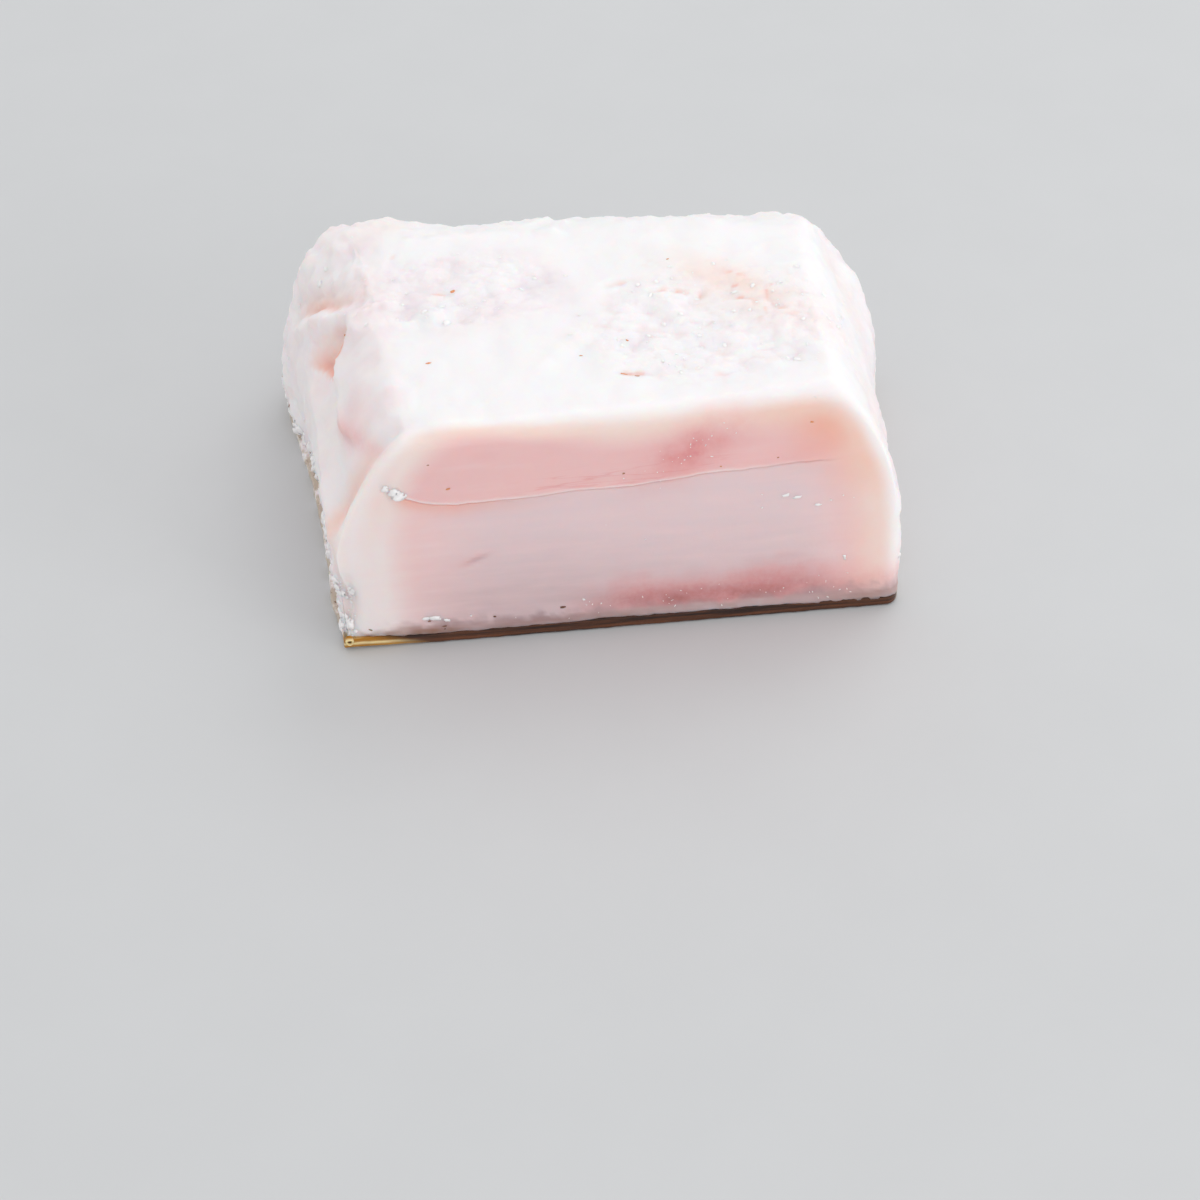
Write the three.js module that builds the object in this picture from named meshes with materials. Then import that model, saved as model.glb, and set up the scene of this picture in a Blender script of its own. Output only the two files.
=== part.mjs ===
// Cured pork fatback: one trimmed block of back fat lying on its rind, with a flat cut in front.
// The origin is the middle of the underside. X runs along the cut, +Y goes back from it and +Z up.
// A grid for the top, a band of rows for the four walls and a fan for the underside make one skin.
// The skin is bent to the block's outline, and then pushed in or out by the relief functions.

import * as THREE from "three";

// Driving dimensions, in millimetres.
const WIDTH = 120;
const DEPTH = 90;
const HEIGHT = 58;
const RIND_THICKNESS = 2.4;

// Each shoulder falls `down` from the top over the distance `inward`. Its section is a curve with
// the exponent `power`: 1 is a straight bevel and 2 an ellipse. `soft` is the drop over which it
// leaves the flat of the top.
const LEFT_SHOULDER = { inward: 17, down: 31.4, power: 1.4, soft: 1.4 };
const RIGHT_SHOULDER = { inward: 16.5, down: 37.4, power: 1.5, soft: 1.4 };
const FRONT_SHOULDER = { inward: 4, down: 4.3, power: 2, soft: 0.3 };
const BACK_SHOULDER = { inward: 30, down: 32.5, power: 1.9, soft: 0.5 };
const SHOULDER_BLEND = 1.4;

// Three upright corners, in plan. The fourth, at the left of the cut, is sharp.
const BACK_LEFT_RADIUS = 19;
const BACK_RIGHT_RADIUS = 21;
const FRONT_RIGHT_RADIUS = 3;

// How the trimmed block departs from a true box.
const SIDE_SKEW = 0.1; // the left side runs further back than the right side
const CUT_LEAN = 0.058; // the foot of the cut comes forward towards the right, per millimetre
const TOP_FALL = 0.064; // the top sinks towards the back
const LEFT_FLARE = { near: 1.5, far: 0.9, upright: 0.1, crest: 1.8 };
const RIGHT_FLARE = { near: 2.6, far: 8.4, upright: 0.27 };

// Steps of the skin.
const ACROSS = { first: 19, middle: 28, last: 10 };
const BACKWARD = { first: 3, middle: 37, last: 11 };
const SEAM_SHARE = 0.665; // height of the seam in the cut, as a share of the wall
const SEAM_GAP = 0.022;
const ROWS_BELOW_SEAM = 6;
const ROWS_ABOVE_SEAM = 3;

const fatColour = new THREE.Color().setRGB(0.93, 0.86, 0.83, THREE.SRGBColorSpace);

const bell = (distance, reach) => Math.exp(-((distance / reach) ** 2));

// Rises from 0 at `from` to 1 at `to`, which may be the smaller of the two.
function smooth(from, to, value) {
  const share = THREE.MathUtils.clamp((value - from) / (to - from), 0, 1);
  return share * share * (3 - 2 * share);
}

// Noise between -1 and 1: random values on a lattice of the given cell, blended smoothly between.
function latticeValue(i, j, k) {
  const value = Math.sin(i * 127.1 + j * 311.7 + k * 74.7) * 43758.5453;
  return value - Math.floor(value);
}

function noise(x, y, z, cell) {
  const base = [x, y, z].map((value) => Math.floor(value / cell));
  const part = [x, y, z].map((value, axis) => smooth(0, 1, value / cell - base[axis]));
  let sum = 0;
  for (let corner = 0; corner < 8; corner += 1) {
    const step = [corner & 1, (corner >> 1) & 1, (corner >> 2) & 1];
    const weight = step.reduce((product, one, axis) => product * (one ? part[axis] : 1 - part[axis]), 1);
    sum += weight * latticeValue(base[0] + step[0], base[1] + step[1], base[2] + step[2]);
  }
  return 2 * sum - 1;
}

// A point of a shoulder's section: how far in from the edge, and how far below the top.
function shoulderPoint({ inward, down, power, soft }, share) {
  const angle = (Math.PI / 2) * share;
  const drop = down * (1 - Math.sin(angle) ** (2 / power));
  return { at: inward * (1 - Math.cos(angle) ** (2 / power)), drop: drop ** 2 / (drop + soft) };
}

// Positions along one axis, with the drop of the surface below the top at each of them.
function shoulderedAxis(length, start, end, steps) {
  const stations = [];
  for (let i = 0; i < steps.first; i += 1) stations.push(shoulderPoint(start, i / steps.first));
  for (let i = 0; i <= steps.middle; i += 1) {
    const share = i / steps.middle;
    stations.push({ at: THREE.MathUtils.lerp(start.inward, length - end.inward, share), drop: 0 });
  }
  for (let i = steps.last - 1; i >= 0; i -= 1) {
    const { at, drop } = shoulderPoint(end, i / steps.last);
    stations.push({ at: length - at, drop });
  }
  return stations;
}

// Draws three square corners in to quarter circles. Each has its sides along X and Y and a radius.
const ROUND_CORNERS = [[-1, 1, BACK_LEFT_RADIUS], [1, 1, BACK_RIGHT_RADIUS], [1, -1, FRONT_RIGHT_RADIUS]];

function roundCorners(point) {
  for (const [sideX, sideY, radius] of ROUND_CORNERS) {
    const centreX = sideX * (WIDTH / 2 - radius);
    const centreY = sideY > 0 ? DEPTH - radius : radius;
    const outX = ((point.x - centreX) * sideX) / radius;
    const outY = ((point.y - centreY) * sideY) / radius;
    if (outX > 0 && outY > 0) {
      point.x = centreX + sideX * radius * outX * Math.sqrt(1 - outY ** 2 / 2);
      point.y = centreY + sideY * radius * outY * Math.sqrt(1 - outX ** 2 / 2);
    }
  }
}

// Bends the box: sinks the top, flares both side walls and skews the back.
function bend(point) {
  const back = THREE.MathUtils.clamp(point.y / DEPTH, 0, 1);
  const high = point.z / HEIGHT;
  const side = point.x / (WIDTH / 2);
  const left = Math.max(-side, 0);
  const right = Math.max(side, 0);
  const middle = smooth(0.35, 0.85, back);
  point.z *= 1 - TOP_FALL * back;
  const leftFlare = LEFT_FLARE.near * smooth(0, 0.5, back) + LEFT_FLARE.far * middle;
  point.x -= left * leftFlare * (1 - LEFT_FLARE.upright * high);
  point.x -= left * LEFT_FLARE.crest * smooth(0.3, 0.8, back) * high;
  point.x += right * RIGHT_FLARE.near * smooth(0, 0.35, back);
  point.x += right * RIGHT_FLARE.far * middle * (1 - RIGHT_FLARE.upright * high);
  point.y *= 1 - SIDE_SKEW * side;
}

function blockPoint(x, y, z) {
  const point = new THREE.Vector3(x, y, z);
  roundCorners(point);
  bend(point);
  return point;
}

// A dent or swelling round a place on the skin.
const knoll = (p, x, y, z, reach) => bell(p.distanceTo(new THREE.Vector3(x, y, z)), reach);

// The rind stands out below the fat, with a narrow groove above it. It is flush with the cut.
function rindRelief(p) {
  const onWall = smooth(1, 12, p.y);
  const onLeft = smooth(-30, -55, p.x);
  const lip = (0.5 + 0.7 * onLeft + 0.3 * noise(p.x, p.y, 0, 7)) * (1 - smooth(0, 1.2, p.z - RIND_THICKNESS));
  const groove = 0.5 * bell(p.z - RIND_THICKNESS - 1.3, 0.9);
  return onWall * (lip - groove);
}

// Height of the seam across the cut face: nearly level, turned up at its left end.
const seamHeight = (x) => 38.7 + 0.015 * (x + WIDTH / 2) + 4.4 * Math.exp(-(x + 47) / 6);

// The fat above the seam stands out a little over a narrow cleft.
function seamRelief(p) {
  const onCut = 1 - smooth(0.2, 1, p.y);
  const along = smooth(-50, -44, p.x) * (1 - smooth(40, 50, p.x));
  const above = p.z - seamHeight(p.x);
  const lip = 0.45 * smooth(-0.2, 0.4, above) * (1 - smooth(0.5, 7, above));
  return onCut * along * (lip - 0.35 * bell(above + 0.5, 0.7));
}

// The torn left shoulder, described by distances back from the cut and upwards: a groove behind
// the cut's ridge, a fold along the wall, a lobe, a pocket behind it, a flap's torn edge past the
// pocket, and a wedge torn out past the flap.
function leftShoulderRelief(p) {
  const onShoulder = smooth(-36, -46, p.x);
  const ridgeGroove = -1.3 * bell(p.y - 4.5, 3) * smooth(34, 40, p.z);
  const foldEnds = smooth(0, 2, p.y) * (1 - smooth(44, 54, p.y));
  const fold = 1.8 * bell(p.z - 31.3 - 0.105 * p.y, 2.8) * foldEnds;
  const overLobe = p.z - 43.8 - 0.017 * (p.y - 26) ** 2;
  const lobeFades = (1 - smooth(6, 13, overLobe)) * (1 - smooth(39, 42, p.y));
  const lobe = 1.3 * smooth(-0.5, 1.5, overLobe) * lobeFades;
  const pastLobe = p.y - 38.3;
  const overSill = p.z - 45 + 0.54 * (p.y - 36.3);
  const flapSlant = p.y - 60 + 1.05 * (p.z - 41.8);
  const flapCrest = 1.2 * (p.z - 54.4) + 0.15 * (p.y - 42);
  const pastFlap = Math.max(flapSlant, flapCrest);
  const pocketFloor = smooth(-0.5, 2.5, pastLobe) * bell(Math.max(pastLobe - 3, 0), 8);
  const pocket = -3.2 * pocketFloor * smooth(-1, 2.5, overSill) * smooth(0, -6.5, pastFlap);
  const flap = 1.2 * bell(pastFlap, 4) * smooth(30, 34, p.z) * smooth(37, 41, p.y);
  const wedge = -1.8 * smooth(0, 6, pastFlap) * (1 - smooth(9, 15, pastFlap)) * bell(p.z - 44, 7);
  return onShoulder * (ridgeGroove + fold + lobe + pocket + flap + wedge);
}

// Swellings and notches of the outline.
function outlineRelief(p) {
  return (
    2.4 * knoll(p, -64, 79, 10, 12) -
    2.1 * knoll(p, -62, 77, 33, 7) +
    1.1 * knoll(p, -57, 84, 41, 8) +
    1.5 * knoll(p, -39, 83, 49, 8) -
    1.2 * knoll(p, -61, 25, 8, 14) -
    2.2 * knoll(p, -62, 50, 10, 12) -
    2.4 * knoll(p, -50, 68, 54, 8) -
    1.9 * knoll(p, 59, 58, 46, 10) -
    0.9 * knoll(p, 43, 66, 53, 7)
  );
}

// Share of crumbly, torn fat on the top: one patch at the back left, one at the right.
function crumbly(p) {
  const leftPatch = 1 - smooth(0.7, 1.25, Math.hypot((p.x + 28) / 24, (p.y - 48) / 13));
  const rightPatch = 1 - smooth(0.7, 1.2, Math.hypot((p.x - 25) / 30, (p.y - 27) / 20));
  return Math.max(leftPatch, rightPatch) * smooth(44, 50, p.z);
}

// Lumps all round, finer crags on the walls and the crumbly patches, and a smooth cut face.
function roughRelief(p) {
  const offCut = smooth(0.5, 5, p.y);
  const lumps = 0.7 * noise(p.x, p.y, p.z, 21) + 0.4 * noise(p.x + 50, p.y, p.z, 9);
  const crags = 0.35 * noise(p.x, p.y + 80, p.z, 5) * (1 - smooth(40, 52, p.z));
  const crumbs = crumbly(p) * (0.9 * noise(p.x, p.y, p.z + 90, 5.5) - 0.4);
  const softCut = 0.25 * noise(p.x, 0, p.z, 24) * (1 - offCut);
  return offCut * (lumps + crags + crumbs) + softCut;
}

function relief(p) {
  const offTable = smooth(0, 0.6, p.z);
  const lipAtTable = rindRelief(p);
  const aboveRind = seamRelief(p) + leftShoulderRelief(p) + outlineRelief(p) + roughRelief(p);
  return lipAtTable + aboveRind * (0.35 + 0.65 * offTable);
}

// Heights of the wall's rows: the rind's edge, the groove over it, then on past the seam.
function wallRows(top) {
  const rows = [RIND_THICKNESS, RIND_THICKNESS + 1.1];
  const first = rows[1];
  const seam = SEAM_SHARE * top;
  for (let i = 1; i < ROWS_BELOW_SEAM; i += 1) {
    rows.push(THREE.MathUtils.lerp(first, seam, i / ROWS_BELOW_SEAM));
  }
  rows.push(seam - (SEAM_GAP / 2) * top, seam + (SEAM_GAP / 2) * top);
  for (let i = 1; i < ROWS_ABOVE_SEAM; i += 1) {
    rows.push(THREE.MathUtils.lerp(seam, top, i / ROWS_ABOVE_SEAM));
  }
  return rows;
}

// Builds the closed skin as an indexed geometry.
function blockGeometry() {
  const across = shoulderedAxis(WIDTH, LEFT_SHOULDER, RIGHT_SHOULDER, ACROSS);
  const backward = shoulderedAxis(DEPTH, FRONT_SHOULDER, BACK_SHOULDER, BACKWARD);
  const points = [];
  const faces = [];
  const quad = (a, b, c, d) => faces.push(a, b, c, a, c, d);

  const topHeights = [];
  for (const v of backward) {
    for (const u of across) {
      const drop = (u.drop ** SHOULDER_BLEND + v.drop ** SHOULDER_BLEND) ** (1 / SHOULDER_BLEND);
      topHeights.push(HEIGHT - drop);
      points.push(blockPoint(u.at - WIDTH / 2, v.at, HEIGHT - drop));
    }
  }
  const columns = across.length;
  for (let j = 0; j < backward.length - 1; j += 1) {
    for (let i = 0; i < columns - 1; i += 1) {
      const corner = j * columns + i;
      quad(corner, corner + 1, corner + columns + 1, corner + columns);
    }
  }

  // The rim of the top, anticlockwise as seen from above, starting at the front left.
  const rim = [];
  const lastColumn = columns - 1;
  const lastLine = backward.length - 1;
  for (let i = 0; i < lastColumn; i += 1) rim.push({ i, j: 0 });
  for (let j = 0; j < lastLine; j += 1) rim.push({ i: lastColumn, j });
  for (let i = lastColumn; i > 0; i -= 1) rim.push({ i, j: lastLine });
  for (let j = lastLine; j > 0; j -= 1) rim.push({ i: 0, j });

  let upper = rim.map(({ i, j }) => j * columns + i);
  const rimHeights = upper.map((index) => topHeights[index]);
  const rowsDown = rimHeights.map((top) => [0, ...wallRows(top)].reverse());
  for (let row = 0; row < rowsDown[0].length; row += 1) {
    const lower = rim.map(({ i, j }, place) => {
      points.push(blockPoint(across[i].at - WIDTH / 2, backward[j].at, rowsDown[place][row]));
      return points.length - 1;
    });
    for (let place = 0; place < rim.length; place += 1) {
      const next = (place + 1) % rim.length;
      quad(upper[place], lower[place], lower[next], upper[next]);
    }
    upper = lower;
  }

  points.push(new THREE.Vector3(0, DEPTH / 2, 0));
  const centre = points.length - 1;
  for (let place = 0; place < rim.length; place += 1) {
    faces.push(centre, upper[(place + 1) % rim.length], upper[place]);
  }

  const geometry = new THREE.BufferGeometry().setFromPoints(points);
  geometry.setIndex(faces);
  return geometry;
}

// Brings the foot of the cut forward towards its right end, so that the cut leans back there.
function leanCut(point) {
  const along = Math.max(point.x + WIDTH / 2, 0);
  const below = 1 - THREE.MathUtils.clamp(point.z / HEIGHT, 0, 1);
  const before = 1 - THREE.MathUtils.clamp(point.y / DEPTH, 0, 1);
  point.y -= CUT_LEAN * along * below * before;
}

// Pushes every point along its normal by the relief, keeping the underside flat on the table.
function applyRelief(geometry) {
  geometry.computeVertexNormals();
  const position = geometry.attributes.position;
  const point = new THREE.Vector3();
  const normal = new THREE.Vector3();
  for (let i = 0; i < position.count; i += 1) {
    point.fromBufferAttribute(position, i);
    normal.fromBufferAttribute(geometry.attributes.normal, i);
    const onTable = point.z < 0.01;
    if (onTable) normal.z = 0;
    if (normal.lengthSq() > 0.01) point.addScaledVector(normal.normalize(), relief(point));
    leanCut(point);
    position.setXYZ(i, point.x, point.y - DEPTH / 2, onTable ? 0 : point.z);
  }
  geometry.computeVertexNormals();
}

function fatbackBlock() {
  const geometry = blockGeometry();
  applyRelief(geometry);
  const material = new THREE.MeshStandardMaterial({ color: fatColour, roughness: 0.5, metalness: 0 });
  const mesh = new THREE.Mesh(geometry, material);
  mesh.name = "fatback_block";
  return mesh;
}

const group = new THREE.Group();
group.add(fatbackBlock());

export default group;
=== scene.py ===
"""A trimmed block of cured pork fatback lying on its rind, as a Blender add-on.

The block's skin is a grid for the top and a band of rows for the four walls. It is bent to the
block's outline and pushed in or out along its normals by relief functions, in millimetres. X runs
along the cut face, Y goes back from the cut and Z is up.
"""

import dataclasses
import functools

import bpy
import numpy as np
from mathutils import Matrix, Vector


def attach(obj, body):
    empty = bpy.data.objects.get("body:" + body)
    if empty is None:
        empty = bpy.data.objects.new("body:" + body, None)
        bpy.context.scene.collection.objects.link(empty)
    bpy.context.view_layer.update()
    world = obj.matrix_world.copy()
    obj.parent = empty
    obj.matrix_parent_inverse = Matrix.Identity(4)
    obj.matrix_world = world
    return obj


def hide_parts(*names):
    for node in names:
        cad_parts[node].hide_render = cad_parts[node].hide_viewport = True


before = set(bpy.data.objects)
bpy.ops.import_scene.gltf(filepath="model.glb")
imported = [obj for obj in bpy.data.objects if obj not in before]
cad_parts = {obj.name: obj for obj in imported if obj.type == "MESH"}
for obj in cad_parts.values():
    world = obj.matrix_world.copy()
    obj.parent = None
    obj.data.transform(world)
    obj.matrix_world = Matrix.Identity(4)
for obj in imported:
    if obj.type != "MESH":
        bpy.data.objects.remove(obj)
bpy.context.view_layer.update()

bl_info = {
    "name": "Cured pork fatback",
    "version": (1, 0, 0),
    "blender": (4, 5, 0),
    "location": "3D View > Sidebar > Fatback",
    "description": "Builds a block of cured back fat with its rind, crumbs, flakes and salt",
    "category": "Add Mesh",
}

MM = 0.001
NODE = "fatback_block"
BODY = "root"

# Each shoulder falls "down" from the top over the distance "inward", along a curve with the
# exponent "power": 1 is a straight bevel and 2 an ellipse. "soft" is the drop over which it
# leaves the flat of the top.
LEFT_SHOULDER = {"inward": 17.0, "down": 31.4, "power": 1.4, "soft": 1.4}
RIGHT_SHOULDER = {"inward": 16.5, "down": 37.4, "power": 1.5, "soft": 1.4}
FRONT_SHOULDER = {"inward": 4.0, "down": 4.3, "power": 2.0, "soft": 0.3}
BACK_SHOULDER = {"inward": 30.0, "down": 32.5, "power": 1.9, "soft": 0.5}
SHOULDER_BLEND = 1.4

# Upright corners in plan: their sides along X and Y, and their radius.
ROUND_CORNERS = ((-1, 1, 19.0), (1, 1, 21.0), (1, -1, 3.0))

# How the trimmed block departs from a true box.
SIDE_SKEW = 0.1
CUT_LEAN = 0.058
TOP_FALL = 0.064
LEFT_FLARE = {"near": 1.5, "far": 0.9, "upright": 0.1, "crest": 1.8}
RIGHT_FLARE = {"near": 2.6, "far": 8.4, "upright": 0.27}

# Shares of the depth over which the flares open: near the cut on each side, at the crest of the
# left wall, and in the middle on both sides.
OPENS_LEFT = (0, 0.5)
OPENS_RIGHT = (0, 0.35)
OPENS_CREST = (0.3, 0.8)
OPENS_MIDDLE = (0.35, 0.85)

# The seam across the cut: its height at the left end, its slope, and the height, place and reach
# of its upturned end.
LEFT_END = -60
SEAM = {"height": 38.7, "slope": 0.015, "turned_up": 4.4, "place": -47, "reach": 6}

# The rind's rolled tip: its place from the left end of the cut and the middle of the rind, and
# its sizes.
TIP_PLACE = (1.0, 0.1, 1.5)
TIP = {"radius": 0.7, "tube": 0.24, "length": 0.8, "steps": 16}

# The camera looks at a point this far behind the foot of the cut, and its picture, so many pixels
# wide, is shifted by this many to the right and up.
BEHIND_CUT = 1.8
PICTURE = 1200
SHIFT = (-20, 10)

# Swellings and notches of the outline: height, place and reach.
KNOLLS = (
    (2.4, (-64, 79, 10), 12),
    (-2.1, (-62, 77, 33), 7),
    (1.1, (-57, 84, 41), 8),
    (1.5, (-39, 83, 49), 8),
    (-1.2, (-61, 25, 8), 14),
    (-2.2, (-62, 50, 10), 12),
    (-2.4, (-50, 68, 54), 8),
    (-1.9, (59, 58, 46), 10),
    (-0.9, (43, 66, 53), 7),
)

# Blood-stained crevices of the top: place in plan, length, width, turn from the X axis, depth and
# stain.
CREVICES = (
    (7.6, 44.1, 3.0, 1.0, 0.1, 0.5, 0.5),
    (15.3, 39.8, 2.0, 0.9, 0.6, 0.5, 0.5),
    (18.4, 39.3, 2.6, 1.1, -0.2, 0.7, 0.8),
    (24.0, 37.4, 2.0, 1.3, 0.9, 0.7, 0.7),
    (31.6, 34.6, 3.4, 1.1, -0.3, 0.6, 0.8),
    (39.3, 30.0, 2.2, 0.9, -0.4, 0.6, 0.7),
    (43.0, 27.0, 2.2, 0.8, -0.4, 0.4, 0.5),
    (19.7, 28.9, 2.2, 0.6, 0.1, 0.4, 0.4),
    (23.9, 28.2, 1.4, 0.6, 0.3, 0.4, 0.35),
    (14.0, 26.5, 1.6, 0.7, -0.3, 0.4, 0.4),
    (33.3, 16.9, 2.0, 0.6, 0.2, 0.3, 0.35),
    (4.6, 13.0, 3.4, 0.8, -0.25, 0.6, 0.8),
    (23.3, 10.1, 2.2, 0.7, 0.2, 0.3, 0.4),
    (-31.4, 47.6, 2.2, 0.5, 0.1, 0.3, 0.6),
    (-39.3, 62.5, 1.2, 0.7, 1.0, 0.3, 0.5),
    (-11.0, 39.0, 3.0, 0.8, 0.1, 0.4, 0.1),
)

# Chips of tissue: place, length, width, turn from the X axis, and tone from brown, 0, to orange, 1.
CHIPS = (
    (-28.1, 48.3, 56, 1.3, 0.9, 0.2, 1.0),
    (-36.4, 23.1, 57, 1.5, 0.5, 0.1, 1.0),
    (-5.2, 20.9, 57, 1.0, 0.4, -0.1, 0.8),
    (5.8, 24.5, 57, 1.0, 0.45, -0.6, 0.8),
    (2.6, 13.4, 57, 1.8, 0.5, -0.3, 0.9),
    (5.6, 12.4, 57, 1.4, 0.55, -0.4, 0.7),
    (18.8, 50.0, 56, 0.8, 0.4, 0.4, 0.8),
    (-36.3, 0, 43.5, 1.1, 0.55, 0.2, 0.85),
    (39.5, 0, 50.6, 1.0, 0.45, -0.3, 0.95),
    (0.0, 0, 42.5, 0.7, 0.4, 0.1, 0.4),
    (-39.8, 0, 50.3, 0.6, 0.3, 0.2, 0.3),
    (32.8, 0, 42.3, 0.5, 0.35, 0.3, 0.6),
    (20.7, 0, 41.6, 0.5, 0.35, -0.2, 0.7),
    (-54.5, 0, 5.5, 1.0, 0.45, -0.5, 0.3),
    (-41.6, 0, 6.6, 0.8, 0.5, 0.1, 0.25),
    (-27.5, 0, 6.3, 0.7, 0.5, 0.1, 0.15),
    (-13.0, 0, 6.8, 1.5, 0.7, 0.1, 0.05),
    (-50.5, 42.0, 50.5, 0.8, 0.5, 1.1, 0.8),
    (-52.5, 39.8, 45.5, 0.7, 0.6, 0.9, 0.5),
)

# White flakes: place, length, width, turn from the X axis, and rise over the surface.
FLAKES = (
    (-46.0, 0, 43.2, 3.2, 1.9, 0.3, 0.35),
    (-47.4, 0, 43.8, 3.0, 2.4, 0.7, 0.4),
    (-49.0, 0, 45.2, 2.0, 1.6, 0.9, 0.35),
    (-42.2, 0, 7.8, 2.0, 1.0, 0.1, 0.3),
    (-40.2, 0, 7.4, 2.8, 1.3, -0.15, 0.35),
    (-38.2, 0, 6.8, 1.8, 0.9, -0.3, 0.3),
    (-33.1, 0, 7.3, 0.5, 0.4, 0.0, 0.3),
    (-8.4, 0, 9.1, 1.0, 0.5, -0.5, 0.3),
    (34.5, 0, 31.8, 1.8, 0.9, 0.2, 0.15),
    (36.9, 0, 31.1, 2.2, 0.8, 0.1, 0.15),
    (41.8, 0, 28.8, 1.5, 0.7, 0.0, 0.2),
    (44.2, 0, 29.4, 0.5, 0.4, 0.3, 0.2),
    (47.3, 0, 30.4, 0.5, 0.4, 0.4, 0.2),
    (29.8, 0, 29.6, 0.5, 0.4, 0.0, 0.2),
    (47.6, 0, 13.8, 0.7, 1.6, 0.1, 0.25),
    (61.2, 1.5, 11.5, 0.9, 1.6, 0.1, 0.6),
)


# ---------------------------------------------------------------- fields in space


def smooth(low, high, value):
    """Rises from 0 at low to 1 at high as 3t^2 - 2t^3; high may be the smaller of the two."""
    share = np.clip((value - low) / (high - low), 0, 1)
    return share * share * (3 - 2 * share)


def bell(distance, reach):
    """exp(-(distance / reach)^2)."""
    return np.exp(-((distance / reach) ** 2))


def largest(*shares):
    """The largest of several shares at each point."""
    return np.maximum.reduce(shares)


def noise(points, cell, shift=0.0):
    """Values between -1 and 1: random numbers on a lattice of the given cell, blended smoothly."""
    scaled = points / cell + (0.0, 0.0, shift)
    base = np.floor(scaled)
    part = smooth(0, 1, scaled - base)
    total = np.zeros(len(points))
    for corner in np.ndindex(2, 2, 2):
        weight = np.prod(np.where(corner, part, 1 - part), axis=1)
        random = np.sin((base + corner) @ (127.1, 311.7, 74.7)) * 43758.5453
        total += weight * (random - np.floor(random))
    return 2 * total - 1


def ridged(points, cell, shift=0.0):
    """1 - |noise|, squared: sharp crests with round hollows between them, from 0 to 1."""
    return (1 - np.abs(noise(points, cell, shift))) ** 2


def pebbles(points, cell, shift=0.0):
    """Round lumps side by side, from 0 to 1: 1 less the square of the distance to the nearest
    lattice point, each of which is moved at random within its own cell."""
    scaled = points / cell + (0.0, 0.0, shift)
    base = np.floor(scaled)
    waves = np.array([[127.1, 269.5, 113.5], [311.7, 183.3, 271.9], [74.7, 246.1, 124.6]])
    least = np.full(len(points), 1.0)
    for step in np.ndindex(3, 3, 3):
        corner = base + step - 1
        random = np.sin(corner @ waves) * 43758.5453
        centre = corner + random - np.floor(random)
        least = np.minimum(least, np.sum((centre - scaled) ** 2, axis=1))
    return 1 - least


# ---------------------------------------------------------------- outline of the block


def shoulder_section(shoulder, angle):
    """How far in a shoulder has come and how far it lies below the top, at angles from 0 to 90
    degrees: inward * (1 - cos^(2/power)), and the drop down * (1 - sin^(2/power)), softened to
    drop^2 / (drop + soft)."""
    along = shoulder["inward"] * (1 - np.cos(angle) ** (2 / shoulder["power"]))
    drop = shoulder["down"] * (1 - np.sin(angle) ** (2 / shoulder["power"]))
    return along, drop * drop / (drop + shoulder["soft"])


def shouldered_axis(length, start, end, steps):
    """Positions along one axis and the drop of the surface at each: a shoulder, even steps, and
    the other shoulder turned round."""
    first, middle, last = steps
    near, near_drop = shoulder_section(start, np.linspace(0, np.pi / 2, first, endpoint=False))
    far, far_drop = shoulder_section(end, np.linspace(0, np.pi / 2, last, endpoint=False)[::-1])
    flat = np.linspace(start["inward"], length - end["inward"], middle + 1)
    drop = np.concatenate([near_drop, np.zeros(len(flat)), far_drop])
    return np.concatenate([near, flat, length - far]), drop


def round_corners(x, y, size):
    """Maps three square corners to quarter circles: each offset from the corner's centre shrinks
    by sqrt(1 - other^2 / 2)."""
    for side_x, side_y, radius in ROUND_CORNERS:
        centre_x = side_x * (size.width / 2 - radius)
        centre_y = size.depth - radius if side_y > 0 else radius
        out_x = (x - centre_x) * side_x / radius
        out_y = (y - centre_y) * side_y / radius
        corner = (out_x > 0) & (out_y > 0)
        u = np.where(corner, out_x, 0)
        v = np.where(corner, out_y, 0)
        x = np.where(corner, centre_x + side_x * radius * u * np.sqrt(1 - v * v / 2), x)
        y = np.where(corner, centre_y + side_y * radius * v * np.sqrt(1 - u * u / 2), y)
    return x, y


def bend(x, y, z, size):
    """Sinks the top to the back, flares both side walls and skews the back, each in proportion
    to the place in the box."""
    back = np.clip(y / size.depth, 0, 1)
    high = z / size.height
    side = x / (size.width / 2)
    left = np.maximum(-side, 0)
    right = np.maximum(side, 0)
    middle = smooth(*OPENS_MIDDLE, back)
    z = z * (1 - TOP_FALL * back)
    left_flare = LEFT_FLARE["near"] * smooth(*OPENS_LEFT, back) + LEFT_FLARE["far"] * middle
    x = x - left * left_flare * (1 - LEFT_FLARE["upright"] * high)
    x = x - left * LEFT_FLARE["crest"] * smooth(*OPENS_CREST, back) * high
    x = x + right * RIGHT_FLARE["near"] * smooth(*OPENS_RIGHT, back)
    x = x + right * RIGHT_FLARE["far"] * middle * (1 - RIGHT_FLARE["upright"] * high)
    return x, y * (1 - SIDE_SKEW * side), z


def block_points(x, y, z, size):
    """Points of the plain block, bent to its outline, as rows of x, y, z."""
    x, y = round_corners(x, y, size)
    return np.stack(np.broadcast_arrays(*bend(x, y, z, size)), axis=-1).reshape(-1, 3)


def lean_cut(points, size):
    """Brings the foot of the cut forward towards its right end: Y less the lean times the distance
    from the left end, the share below the top and the share before the back."""
    x, y, z = points.T
    below = 1 - np.clip(z / size.height, 0, 1)
    before = 1 - np.clip(y / size.depth, 0, 1)
    forward = CUT_LEAN * np.maximum(x + size.width / 2, 0) * below * before
    return np.stack([x, y - forward, z], axis=-1)


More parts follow.
